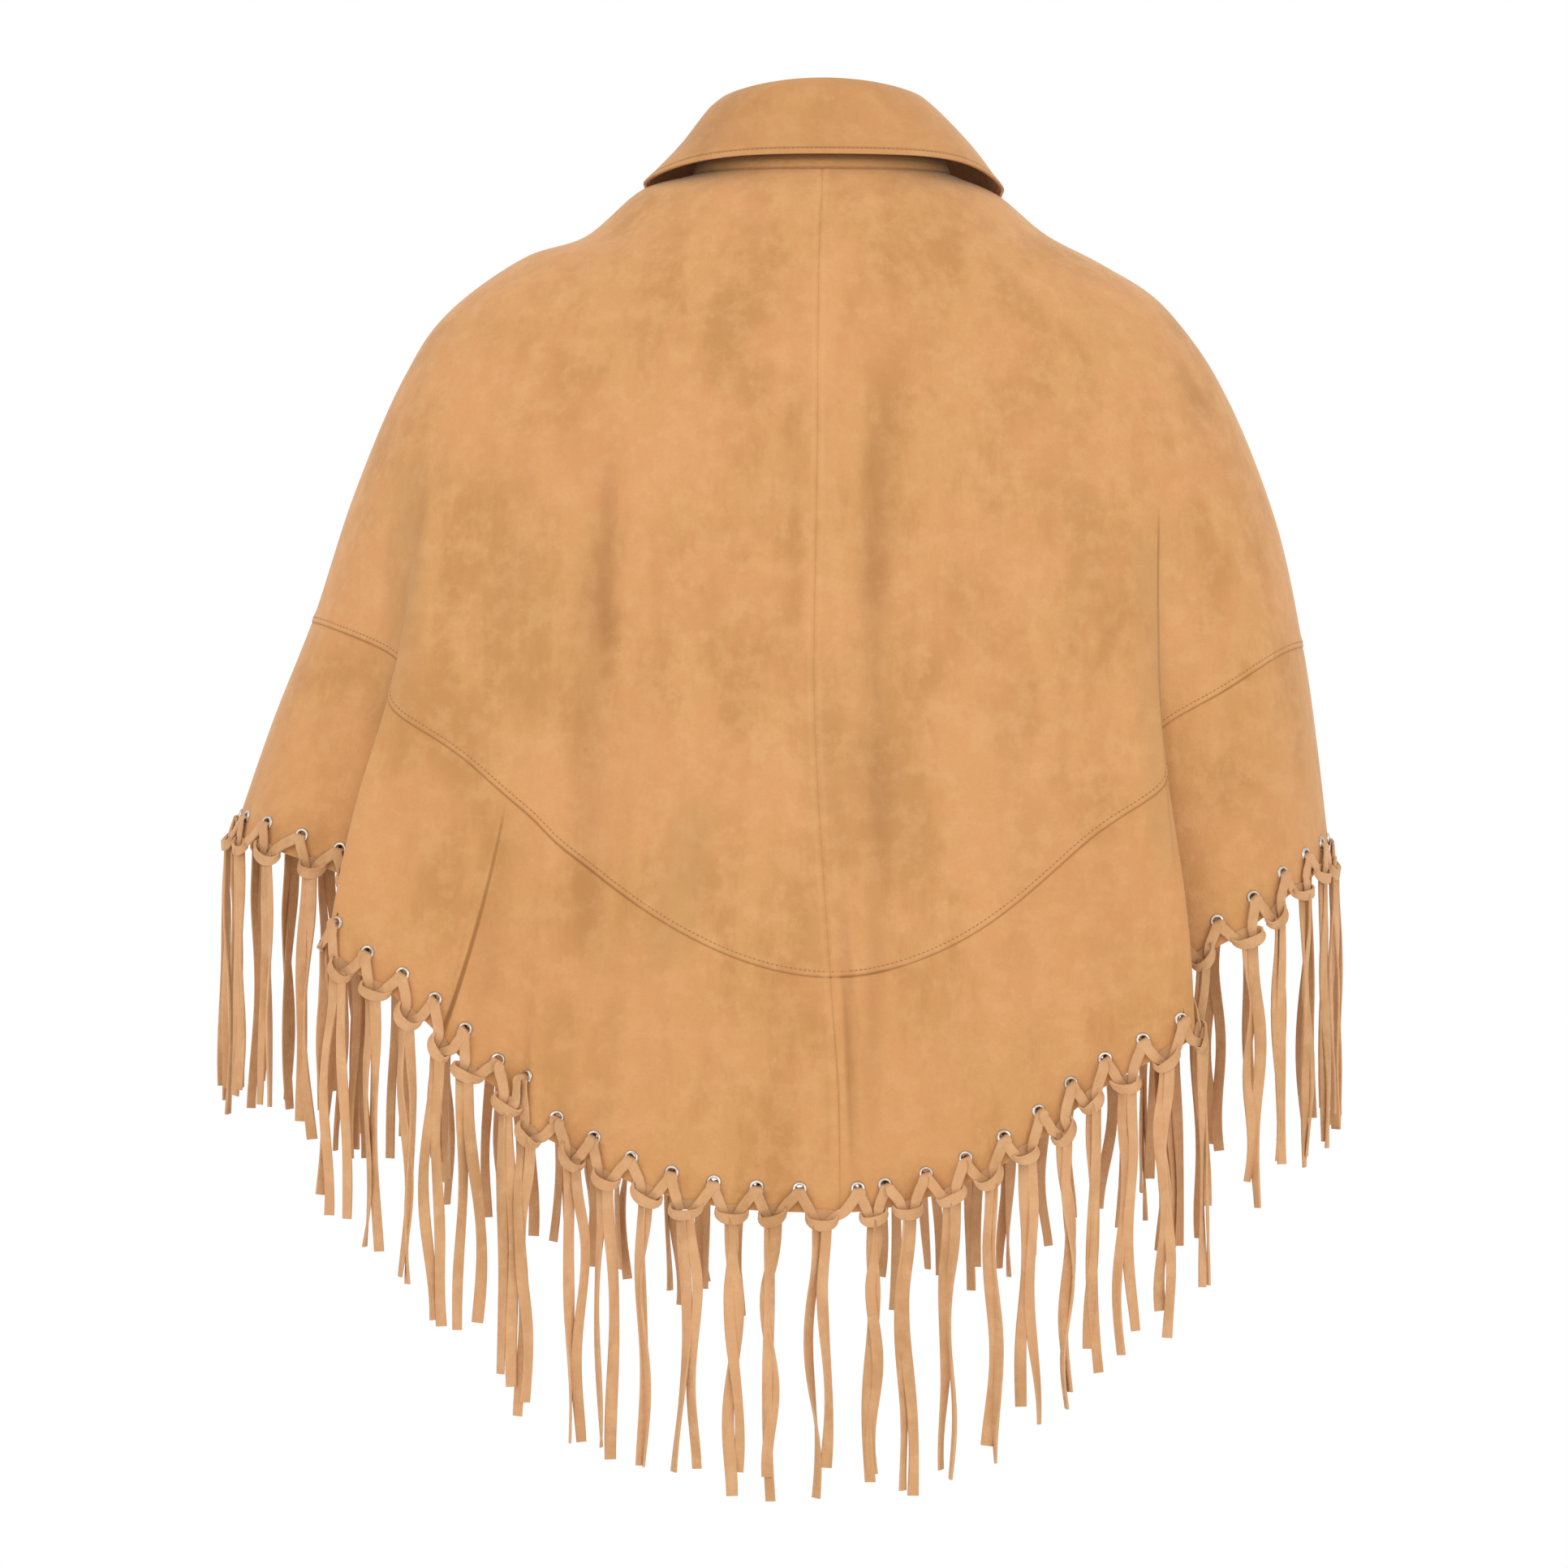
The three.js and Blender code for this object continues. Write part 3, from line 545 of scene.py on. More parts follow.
# A material and its nodes, all added through one method.
class Look:
    def __init__(self, name):
        self.material = bpy.data.materials.new(name)
        self.material.use_nodes = True
        self.tree = self.material.node_tree
        self.tree.nodes.clear()
        self.where = self.add("ShaderNodeTexCoord", {}, {}).outputs["Object"]

    def add(self, kind, settings, sockets):
        node = self.tree.nodes.new(kind)
        for name, value in settings.items():
            setattr(node, name, value)
        for name, value in sockets.items():
            if isinstance(value, Level):
                self.tree.links.new(value.socket, node.inputs[name])
            elif isinstance(value, bpy.types.NodeSocket):
                self.tree.links.new(value, node.inputs[name])
            else:
                node.inputs[name].default_value = value
        return node

    def level(self, kind, settings, sockets, output=0):
        return Level(self, self.add(kind, settings, sockets).outputs[output])

    def noise(self, where, scale, detail=2.0, roughness=0.5):
        return self.level("ShaderNodeTexNoise", {"noise_dimensions": "3D"},
                          {"Vector": where, "Scale": scale, "Detail": detail, "Roughness": roughness}, "Fac")

    def eased(self, value, low, high):
        return self.level("ShaderNodeMapRange", {"interpolation_type": "SMOOTHSTEP"},
                          {"Value": value, "From Min": low, "From Max": high}, "Result")

    def mixed(self, factor, first, second):
        sockets = {"Factor": factor, "A": first, "B": second}
        return self.add("ShaderNodeMix", {"data_type": "RGBA"}, sockets).outputs["Result"]

    def bump(self, height, strength, distance, normal=None):
        sockets = {"Height": height, "Strength": strength, "Distance": distance}
        if normal is not None:
            sockets["Normal"] = normal
        return self.add("ShaderNodeBump", {}, sockets).outputs["Normal"]

    def shaded(self, sockets):
        shader = self.add("ShaderNodeBsdfPrincipled", {}, sockets)
        self.add("ShaderNodeOutputMaterial", {}, {"Surface": shader.outputs[0]})
        return self.material


# What varies over the suede, in the order in which it is mixed in: whether it is drawn out down the
# hide, its noise, the levels that it rises between, the colour that it leads to and how strongly.
napPatterns = rowsOf(
    "name drawnOut scale detail roughness low high to strength",
    ("streaks", True, 30, 5, 0.66, 0.4, 0.62, "dark", 0.6),
    ("clouds", False, 13, 3, 0.55, 0.38, 0.62, "pink", 0.6),
    ("dusk", True, 15, 3, 0.6, 0.54, 0.7, "olive", 0.24),
    ("blotches", False, 75, 4, 0.65, 0.42, 0.66, "pale", 0.34),
    ("speckle", False, 420, 2, 0.7, 0.3, 0.75, "dark", 0.12),
)

# Lines painted over the back, in metres: painted shadow along the lapped edges of the pleat and the right
# fold (to the line colour), softer painted shadow bands (olive), and a pinker band by the centre seam.
# Columns: both ends, half width at the first and at the second, sideways bow of the middle, how strong
# they are at either end, and the colour that they lead to.
shadeAndTintLines = rowsOf(
    "fromX fromZ toX toZ wide wideEnd bow start end to",
    (-0.182, -0.366, -0.2215, -0.51, 0.001, 0.0023, 0.0035, 0.4, 0.95, "line"),
    (0.1956, -0.191, 0.205, -0.43, 0.001, 0.001, -0.005, 0.7, 0.05, "line"),
    (-0.244, -0.16, -0.252, -0.34, 0.014, 0.018, 0.004, 0.35, 0.35, "olive"),
    (0.189, -0.2, 0.199, -0.42, 0.012, 0.012, -0.004, 0.3, 0.45, "olive"),
    (-0.074, -0.36, -0.092, -0.47, 0.018, 0.016, 0.004, 0.35, 0.4, "olive"),
    (0.0, -0.05, 0.006, -0.2, 0.014, 0.02, 0.001, 0.2, 0.12, "pink"),
)

suedeFinish = {
    "drawnOut": (1, 1, 0.3),
    "darker": 0.72,  # how far the mesh's tone takes the colour towards its lines
    "paler": 0.8,
    # Painted shadow colour, where the tone passes 1
    "paintedShadow": (0.03, 0.012, 0.004, 1),  # where the tone passes 1, inside holes and under the collar
    "fibreScale": 1500,
    "napStrength": 0.34,
    "napDistance": 0.0006,
    "softStrength": 0.3,
    "softDistance": 0.0022,
}


# Suede: a slow streaky unevenness down the hide, blotches where the nap is brushed either way and
# the dye took pinker or greyer, a fine nap, the tone and painted shade that the mesh carries along
# its creases and seams, and the lines of painted shade and one pinker band. Across a line the amount
# falls smoothly with the distance squared.
def suedeLook(name, colours, streak=1.0, nap=1.0, lines=()):
    look = Look(name)
    colours = {key: (*colour, 1) for key, colour in colours.items()}
    stretched = look.add("ShaderNodeMapping", {}, {"Vector": look.where, "Scale": suedeFinish["drawnOut"]})
    tone = look.level("ShaderNodeAttribute", {"attribute_name": "tone"}, {}, "Fac")
    colour = colours["base"]
    levels = {}
    for row in napPatterns:
        where = stretched.outputs["Vector"] if row["drawnOut"] else look.where
        strength = row["strength"] * (streak if row["drawnOut"] else 1)
        noise = look.noise(where, row["scale"], row["detail"], row["roughness"])
        levels[row["name"]] = look.eased(noise, row["low"], row["high"])
        colour = look.mixed(levels[row["name"]] * strength, colour, colours[row["to"]])
    split = look.add("ShaderNodeSeparateXYZ", {}, {"Vector": look.where})
    x, y, z = (Level(look, split.outputs[axis]) for axis in "XYZ")
    behind = look.eased(0 - y, 0.0, 0.03)
    for line in lines:
        share = (z - line["fromZ"]) * (1 / (line["toZ"] - line["fromZ"]))
        bowed = share * (1 - share) * (4 * line["bow"])
        aside = x - line["fromX"] - share * (line["toX"] - line["fromX"]) - bowed
        wide = share * (line["wideEnd"] - line["wide"]) + line["wide"]
        across = 1 - look.eased(aside * aside / (wide * wide), 0, 1)
        along = look.eased(share, 0, 0.15) * look.eased(1 - share, 0, 0.15)
        strength = share * (line["end"] - line["start"]) + line["start"]
        colour = look.mixed(across * along * behind * strength, colour, colours[line["to"]])
    # The mesh's tone: above 0 towards the line colour, as painted shade in creases, seams and round the
    # knots, besides each lace's own tone; past 1 towards the painted shadow colour; below 0 towards the pale
    # colour, as painted light on ridges and beside seams, and the raw edges' own paler colour.
    colour = look.mixed(look.eased(tone, 0, 1) * suedeFinish["darker"], colour, colours["line"])
    colour = look.mixed(look.eased(tone, 1, 2), colour, suedeFinish["paintedShadow"])
    colour = look.mixed(look.eased(0 - tone, 0, 1) * suedeFinish["paler"], colour, colours["pale"])
    fibres = look.noise(look.where, suedeFinish["fibreScale"], 2, 0.7)
    fine = look.bump(fibres * 0.5 + levels["speckle"] * 0.5, suedeFinish["napStrength"] * nap,
                     suedeFinish["napDistance"])
    soft = look.bump(levels["blotches"] * 0.4 + levels["streaks"] * 0.3, suedeFinish["softStrength"],
                     suedeFinish["softDistance"], fine)
    return look.shaded({
        "Base Color": colour, "Roughness": 0.93, "Normal": soft, "Specular IOR Level": 0.18,
        "Sheen Weight": 0.32, "Sheen Roughness": 0.45, "Sheen Tint": (1.0, 0.82, 0.62, 1)})


def metalLook(name):
    look = Look(name)
    smudge = look.eased(look.noise(look.where, 260, 3, 0.6), 0.35, 0.7)
    colour = look.mixed(smudge * 0.8, (0.68, 0.64, 0.59, 1), (0.36, 0.30, 0.24, 1))
    return look.shaded({"Base Color": colour, "Metallic": 1.0, "Roughness": smudge * 0.14 + 0.22})


def threadLook(name):
    look = Look(name)
    twist = look.eased(look.noise(look.where, 900, 2, 0.6), 0.35, 0.7)
    colour = look.mixed(twist * 0.7, (0.30, 0.135, 0.045, 1), (0.44, 0.22, 0.085, 1))
    return look.shaded({"Base Color": colour, "Roughness": 0.6, "Specular IOR Level": 0.3,
                        "Sheen Weight": 0.2})


def floorLook(name):
    look = Look(name)
    mottle = look.eased(look.noise(look.where, 3, 2), 0.3, 0.7)
    colour = look.mixed(mottle, (0.86, 0.86, 0.85, 1), (0.9, 0.9, 0.89, 1))
    return look.shaded({"Base Color": colour, "Roughness": 0.8})


# Plain pale floor, soft light and the camera
studio = {
    "cameraAt": (-0.0224, -3.0, -0.3586),
    "lens": 114.6,
    "floorZ": -1.42,  # the ground under a standing wearer's shoulders
    "floorRadius": 2.1,
    "floorRings": [0.0005, 0.5, 0.97, 1.0],
    "floorSides": 96,
    "sky": (1.0, 1.0, 1.0, 1),
    "skyStrength": 1.0,
    "lights": rowsOf(
        "name at aimAt size power colour",
        ("softbox_left", (-1.6, -2.4, 1.3), (0, 0, -0.3), 1.8, 12, (1.0, 0.98, 0.95)),
        ("softbox_right", (2.0, -2.2, 0.6), (0, 0, -0.3), 1.6, 8, (0.97, 0.98, 1.0)),
        ("softbox_front", (0.3, -3.2, -0.5), (0, 0, -0.2), 1.2, 8, (1, 1, 1)),
        ("softbox_behind", (0.6, 2.6, 1.2), (0, 0, -0.3), 1.8, 14, (1, 1, 1)),
    ),
}


def placed(name, data, at, turn):
    holder = bpy.data.objects.new(name, data)
    holder.location = at
    holder.rotation_euler = turn
    bpy.context.scene.collection.objects.link(holder)
    return holder


def areaLight(name, at, aimAt, size, power, colour):
    lamp = bpy.data.lights.new(name, "AREA")
    lamp.shape = "DISK"
    lamp.size = size
    lamp.energy = power
    lamp.color = colour
    aim = np.array(aimAt) - np.array(at)
    tilt = np.arctan2(np.hypot(aim[0], aim[1]), -aim[2])
    placed(name, lamp, at, (tilt, 0, np.arctan2(aim[1], aim[0]) - np.pi / 2))


def makeStudio():
    scene = bpy.context.scene
    camera = bpy.data.cameras.new("camera")
    camera.lens = studio["lens"]
    camera.sensor_width = 36
    scene.camera = placed("camera", camera, studio["cameraAt"], (np.pi / 2, 0, 0))
    scene.view_settings.view_transform = "Standard"
    world = bpy.data.worlds.new("sky")
    world.use_nodes = True
    background = world.node_tree.nodes["Background"]
    background.inputs["Color"].default_value = studio["sky"]
    background.inputs["Strength"].default_value = studio["skyStrength"]
    scene.world = world
    for light in studio["lights"]:
        areaLight(**light)
    sides = studio["floorSides"]
    angles = np.linspace(0, 2 * np.pi, sides + 1)[:-1]
    rings = np.array(studio["floorRings"]) * studio["floorRadius"] * 1000
    points = np.stack([rings[:, None] * np.cos(angles), rings[:, None] * np.sin(angles),
                       np.full((len(rings), sides), studio["floorZ"] * 1000)], -1)
    closed = np.concatenate([points, points[:, :1]], axis=1)
    floor = makeMesh("floor", closed, gridQuads(len(rings), sides + 1))
    floor.data.materials.append(floorLook("pale_floor"))


def finish(piece, material, slot=None, replaced=()):
    piece.data.materials.append(material)
    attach(piece, "root")
    if replaced:
        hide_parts(*replaced)


makeStudio()
print("studio made")

# Each suede's colour, and the colours that its patterns, lines and tone lead to. The line colour stands
# for painted shade in creases, seams and folds, olive also for painted shadow by the folds, and pale also
# for painted light on ridges and beside seams. The collar's copy is darker than the body's, as painted
# shade.
suedeColours = {
    "body": {"base": (0.595, 0.302, 0.115), "dark": (0.455, 0.205, 0.068), "pink": (0.655, 0.312, 0.132),
             "olive": (0.465, 0.255, 0.098), "pale": (0.695, 0.388, 0.172), "line": (0.245, 0.098, 0.028)},
    "border": {"base": (0.58, 0.29, 0.108), "dark": (0.45, 0.203, 0.067), "pink": (0.64, 0.302, 0.124),
               "olive": (0.465, 0.252, 0.096), "pale": (0.675, 0.37, 0.16), "line": (0.245, 0.098, 0.028)},
    "collar": {"base": (0.54, 0.268, 0.101), "dark": (0.43, 0.195, 0.066), "pink": (0.58, 0.275, 0.108),
               "olive": (0.44, 0.245, 0.095), "pale": (0.63, 0.342, 0.148), "line": (0.245, 0.098, 0.028)},
    "lace": {"base": (0.60, 0.33, 0.155), "dark": (0.43, 0.215, 0.088), "pink": (0.65, 0.345, 0.175),
             "olive": (0.46, 0.27, 0.125), "pale": (0.72, 0.445, 0.24), "line": (0.23, 0.105, 0.04)},
}
suedes = {
    "body": suedeLook("tan_suede", suedeColours["body"], lines=shadeAndTintLines),
    "border": suedeLook("tan_suede_border", suedeColours["border"], lines=shadeAndTintLines),
    "collar": suedeLook("tan_suede_collar", suedeColours["collar"], streak=0.8),
    "lace": suedeLook("tan_suede_lace", suedeColours["lace"], nap=1.2),
}
metal = metalLook("bright_nickel")
thread = threadLook("tan_thread")

# Eyelets, lacing, knots and fringe along the hem
lacing = {
    "pitch": 25,  # between eyelets
    "fromEdge": 11,  # first and last eyelet from the front edges
    "fromSeam": 10.5,  # nearest that an eyelet comes to a seam
    "rise": 13,  # eyelet centres above the cut edge
    "holeHalf": 2.5,
    "standoff": 0.5,  # between the lace and the suede under it
    "hollowStandoff": 6,  # more of it where the lace bridges a hollow of the folds
    "hollowReach": 18,  # either way along the edge that counts as bridged
    "laceWidth": 6.2,
    "laceThick": 1.4,
    "knotBelow": 0.8,  # knot's middle below the cut edge
    "knotOut": 1.0,
    "turnThick": 1.5,
    "turnNarrow": 3.4,  # width of the turn at its ends
    "turnFront": 2.3,  # how far the turn goes round the lace, in front and behind
    "turnBehind": 1.7,
    "strandLength": 146,  # below the knot's lower edge
    "strandSpread": 11,
    "strandFrom": 3.4,  # start of the strands under the knot's middle
    "strandTucked": 5,  # length that the turn hides
    "strandWidth": 6.3,
    "strandThick": 1.5,
}

# One lace, from the middle of its run across the inside (0), out through an eyelet and down to its
# knot (1): its share of the way from the knot to the eyelet, millimetres beside that, height above
# the cut edge, distance out from the suede, its width, and which way its face looks.
laceRoute = {
    "at": [0.0, 0.16, 0.27, 0.34, 0.41, 0.48, 0.57, 0.70, 0.83, 0.92, 1.0],
    "share": [0.0, 0.75, 1.0, 1.0, 1.0, 1.0, 0.88, 0.66, 0.46, 0.30, 0.16],
    "beside": [0.0, 0.0, -2.6, -1.4, -1.2, -1.4, 0.0, 0.0, 0.0, 0.3, 0.6],
    "rise": [12.6, 13.0, 13.4, 13.2, 12.4, 11.6, 9.2, 4.8, 0.6, -2.2, -4.6],
    "out": [-3.4, -3.4, -3.2, -1.6, 0.6, 2.2, 1.9, 1.0, 1.1, 1.3, 1.0],
    "width": [0.95, 1.0, 1.0, 0.62, 0.6, 0.86, 1.0, 1.0, 0.97, 0.88, 0.75],
    "faceOut": [-1.0, -1.0, -0.8, -0.2, 0.4, 0.9, 1.0, 1.0, 1.0, 1.0, 1.0],
    "faceUp": [0.0, 0.0, 0.4, 1.0, 0.9, 0.4, 0.0, 0.0, 0.0, 0.0, 0.0],
}

# The least and the most of what differs from knot to knot
varied = {
    "shift": (-2.4, 2.4),  # knot along the edge
    "drop": (-1.8, 1.0),  # knot up the suede
    "slack": (0, 1.6),  # lace off the suede
    "bow": (-1.5, 1.5),  # each half of the lace, sideways
    "laceTone": (-0.15, 0.1),
    "turnHalfWide": (7.2, 9.4),
    "turnDeep": (4.4, 6.6),  # how far the turn droops in front
    "turnTilt": (-0.34, 0.34),
    "turnTwist": (-0.5, 0.5),
    "turnWider": (2.4, 3.6),  # in the middle than at its ends
    "turnTone": (-0.2, 0.05),
    "pairSway": (-2.2, 2.2),  # both strands of a knot together
    "length": (-1, 1),  # strands, in spreads
    "start": (0.5, 3.0),  # to either side
    "spread": (-1.5, 4.2),  # apart at their ends
    "phase": (0, 6.28),
    "waves": (5, 10),
    "wave": (0.7, 2.9),
    "away": (-0.6, 2.2),  # out at their ends
    "turned": (-0.5, 0.5),  # face turned, in radians
    "curl": (-1, 1),  # more of it towards the end
    "width": (0.92, 1.08),
    "strandTone": (-0.22, 0.2),
}


# Places round the hem at an even pitch of length, moved off the seams.
def eyeletPlaces():
    around = np.linspace(-1, 1, 8001)
    lengths = lengthsAlong(capePoint(around, 1.0))
    edge = lacing["fromEdge"]
    count = int(round((lengths[-1] - 2 * edge) / lacing["pitch"])) + 1
    at = np.linspace(edge, lengths[-1] - edge, count)
    for seam in (-0.5, 0, 0.5):
        seamAt = np.interp(seam, around, lengths)
        short = np.clip(lacing["fromSeam"] - np.abs(at - seamAt), 0, None)
        at = at + short * np.where(at < seamAt, -1, 1)
    return np.interp(at, lengths, around)


# Holes for eyelets as a shell takes them: place down and around, and half the size each way.
def holesAt(eyelets):
    across, along, normal = directions(capePoint, eyelets, 1.0)
    down = 1 - lacing["rise"] / squareScales(across, along)[0]
    half = lacing["holeHalf"]
    return np.stack([down, eyelets, half / length(along), half / length(across)], -1)


# Points over the suede near the hem, rise millimetres above the cut edge and measured square to it,
# and out from the suede's face. Below the edge they carry on in the suede's own direction. Also the
# normals there, and the directions along the edge and up from it.
def hemPoint(around, rise, out):
    across, along, hemNormal = directions(capePoint, around, 1.0)
    down = np.minimum(1, 1 - rise / squareScales(across, along)[0])
    normal = directions(capePoint, around, down)[2]
    surface = capePoint(around, down)
    edge = unit(across)
    below = unit(np.cross(edge, hemNormal))
    point = (surface + normal * (out + faceRelief(surface)[0])[..., None]
             + below * np.maximum(0, -rise)[..., None])
    return point, normal, edge, -below


# How much further a lace stands off where it bridges a hollow of the folds.
def hollowAt(around):
    reach = lacing["hollowReach"] / length(directions(capePoint, around, 1.0)[0])
    ends = [np.maximum(-1, around - reach), np.minimum(1, around + reach)]
    normals = [directions(capePoint, end, 1.0)[2] for end in ends]
    chord = unit(capePoint(ends[1], 1.0) - capePoint(ends[0], 1.0))
    return lacing["hollowStandoff"] * np.maximum(0, ((normals[0] - normals[1]) * chord).sum(-1))


# Sections of bands, in halves of their width and thickness
laceSection = np.array([(-1, -0.35), (-0.86, -1), (0.86, -1), (1, -0.35),
                        (1, 0.35), (0.86, 1), (-0.86, 1), (-1, 0.35)])
threadSection = np.array([(-1, 0), (-0.5, -0.87), (0.5, -0.87), (1, 0), (0.5, 0.87), (-0.5, 0.87)])


# Flat bands swept along paths: at each point of a path the section's corners lie across it by half
# the width and off its face by half the thickness, and flat ends close it.
def bands(paths, faces, widths, thicks, section=laceSection, tone=0.0, edgeTone=0.0, start=0):
    many, long = paths.shape[:2]
    corners = len(section)
    tangents = unit(np.gradient(paths, axis=1))
    wides = unit(np.cross(tangents, faces))
    faces = np.cross(wides, tangents)
    widths = np.broadcast_to(widths, (many, long))[..., None, None]
    thicks = np.broadcast_to(thicks, (many, long))[..., None, None]
    points = (paths[:, :, None] + wides[:, :, None] * section[:, 0][:, None] * widths / 2
              + faces[:, :, None] * section[:, 1][:, None] * thicks / 2)
    tones = np.broadcast_to(tone, (many, long))[..., None] + edgeTone * (np.abs(section[:, 0]) == 1)
    first = start + (np.arange(many) * long * corners)[:, None, None]
    ring = first + np.arange(long - 1)[None, :, None] * corners
    k = np.arange(corners)[None, None, :]
    ahead = (k + 1) % corners
    sides = np.stack([ring + k, ring + ahead, ring + corners + ahead, ring + corners + k], -1)
    a = np.arange(corners // 2 - 1)
    cap = np.stack([a, a + 1, corners - 2 - a, corners - 1 - a], -1)
    caps = np.concatenate([first + cap[None, :, ::-1], first + (long - 1) * corners + cap[None]], axis=1)
    quads = np.concatenate([sides.reshape(-1, 4), caps.reshape(-1, 4)])
    return points.reshape(-1, 3), quads, tones.ravel()


def joinedBands(name, parts):
    made = []
    for part in parts:
        made.append(bands(start=sum(len(earlier[0]) for earlier in made), **part))
    vertices, quads, tones = (np.concatenate(arrays) for arrays in zip(*made))
    return makeMesh(name, vertices, facingOut(vertices, quads), tones)


# The lace between a knot's two eyelets, from knot to knot.
def lacePart(knots, drawn):
    t = np.concatenate([np.linspace(-1, 0, 27), np.linspace(0, 1, 27)[1:]])
    way = np.abs(t)
    route = rowsAt(laceRoute, way)
    centre, perMillimetre = knots["centre"][:, None], knots["perMillimetre"][:, None]
    eyelet = np.where(t < 0, knots["left"][:, None], knots["right"][:, None])
    around = centre + (eyelet - centre) * route["share"] + np.sign(t) * route["beside"] * perMillimetre
    slack = drawn("slack", 1) * np.sin(np.pi * np.clip((way - 0.5) / 0.45, 0, 1)) ** 2
    bow = drawn("bow", 2)[:, (t > 0).astype(int)] * np.sin(np.pi * np.clip((way - 0.5) / 0.5, 0, 1))
    front = eased((route["out"] + 1) / 2)
    crossed = 0.8 * (t > 0) * (way > 0.8)  # one half lies over the other at the knot
    lift = route["out"] + front * (knots["standoff"][:, None] - 0.6) + slack + crossed
    rise = route["rise"] + knots["drop"][:, None] * eased((way - 0.6) / 0.4)
    path, normals, edges, ups = hemPoint(around + bow * perMillimetre, rise, lift)
    faces = normals * route["faceOut"][:, None] + ups * route["faceUp"][:, None]
    shadow = 0.5 * eased((way - 0.8) / 0.12) + 1.4 * np.exp(-(((way - 0.27) / 0.07) ** 2))
    return {"paths": path, "faces": faces, "widths": lacing["laceWidth"] * route["width"],
            "thicks": lacing["laceThick"], "tone": drawn("laceTone", 1) + shadow, "edgeTone": -0.15}


# The turn of lace round a knot: an oval loop that droops in front like a smile and narrows at its ends.
def turnPart(knots, drawn):
    turn = np.linspace(-0.5 * np.pi, 1.5 * np.pi, 25)
    root, edge, up, normal = (knots[key][:, None] for key in ("root", "edge", "up", "normal"))
    ahead = unit(normal * [1, 1, 0.3])
    halfWide, deep, tilt = (drawn(what, 1) for what in ("turnHalfWide", "turnDeep", "turnTilt"))
    beside = halfWide * np.cos(turn)
    inFront = np.maximum(0, np.sin(turn))
    rise = -deep * inFront**0.9 + tilt * beside + drawn("turnTwist", 1) * np.cos(2 * turn)
    out = np.where(np.sin(turn) > 0, lacing["turnFront"], lacing["turnBehind"]) * np.sin(turn)
    path = root + edge * beside[..., None] + up * rise[..., None] + ahead * out[:, None]
    faces = (edge * np.cos(turn)[:, None] + ahead * np.sin(turn)[:, None] * 1.2
             - up * 0.25 * inFront[:, None])
    widths = lacing["turnNarrow"] + drawn("turnWider", 1) * np.abs(np.sin(turn)) ** 1.3
    # The turn is darker on its back half and where it rounds the lace, as painted shade.
    return {"paths": path, "faces": faces, "widths": widths, "thicks": lacing["turnThick"],
            "tone": drawn("turnTone", 1) + 0.5 * (1 - eased(inFront / 0.35)), "edgeTone": -0.1}


# The two strands that hang from a knot, each with a wave that starts below it.
def strandParts(knots, drawn):
    t = np.linspace(0, 1, 24)
    face = unit(knots["normal"] * [1, 1, 0])
    side = np.stack([-face[:, 1], face[:, 0], 0 * face[:, 0]], -1)[:, None]
    face = face[:, None]
    top = (knots["root"] - knots["up"] * lacing["strandFrom"])[:, None]
    begun = eased(t / 0.3)
    pairSway = drawn("pairSway", 1) * np.sin(3.1 * t)
    parts = []
    for hand in (-1, 1):
        long = lacing["strandLength"] + lacing["strandTucked"] + lacing["strandSpread"] * drawn("length", 1)
        sway = hand * drawn("start", 1) + hand * drawn("spread", 1) * t + pairSway
        phase, waves = drawn("phase", 1), drawn("waves", 1)
        sway = sway + drawn("wave", 1) * (np.sin(phase + waves * t) - np.sin(phase)) * begun
        away = 0.3 + 0.9 * (hand > 0) + drawn("away", 1) * t + 0.9 * np.sin(phase * 1.7 + 6 * t) * begun
        turned = drawn("turned", 1) + drawn("curl", 1) ** 3 * 2.2 * t + 0.35 * np.sin(phase + 7 * t)
        path = (top + side * sway[..., None] + face * away[..., None]
                - np.array([0, 0, 1.0]) * (long * t)[..., None])
        widths = lacing["strandWidth"] * (drawn("width", 1) + 0.06 * np.sin(phase + 11 * t))
        # Each strand has its own tone, and is darker at its top, under the knot, as painted shade.
        tone = drawn("strandTone", 1) + 0.7 * np.exp(-((t / 0.055) ** 2))
        faces = face * np.cos(turned)[..., None] + side * np.sin(turned)[..., None]
        parts.append({"paths": path, "faces": faces, "widths": widths, "thicks": lacing["strandThick"],
                      "tone": tone, "edgeTone": -0.3})
    return parts


# The lace, turns and strands of the knots between two eyelets. What differs from knot to knot is
# drawn for all of them at once, in this order.
def makeFringe(name, first, last):
    random = np.random.default_rng(41 + first)

    def drawn(what, *shape):
        return random.uniform(*varied[what], (last - first, *shape))

    left, right = eyelets[first:last], eyelets[first + 1:last + 1]
    middle = (left + right) / 2
    perMillimetre = 1 / length(directions(capePoint, middle, 1.0)[0])
    centre = middle + drawn("shift") * perMillimetre
    drop = drawn("drop")
    standoff = lacing["standoff"] + lacing["laceThick"] / 2 + hollowAt(middle)
    root, normal, edge, up = hemPoint(centre, drop - lacing["knotBelow"], standoff + lacing["knotOut"])
    knots = {"left": left, "right": right, "centre": centre, "perMillimetre": perMillimetre, "drop": drop,
             "standoff": standoff, "root": root, "normal": normal, "edge": edge, "up": up}
    return joinedBands(name, [lacePart(knots, drawn), turnPart(knots, drawn), *strandParts(knots, drawn)])


eyelets = eyeletPlaces()
holes = holesAt(eyelets)

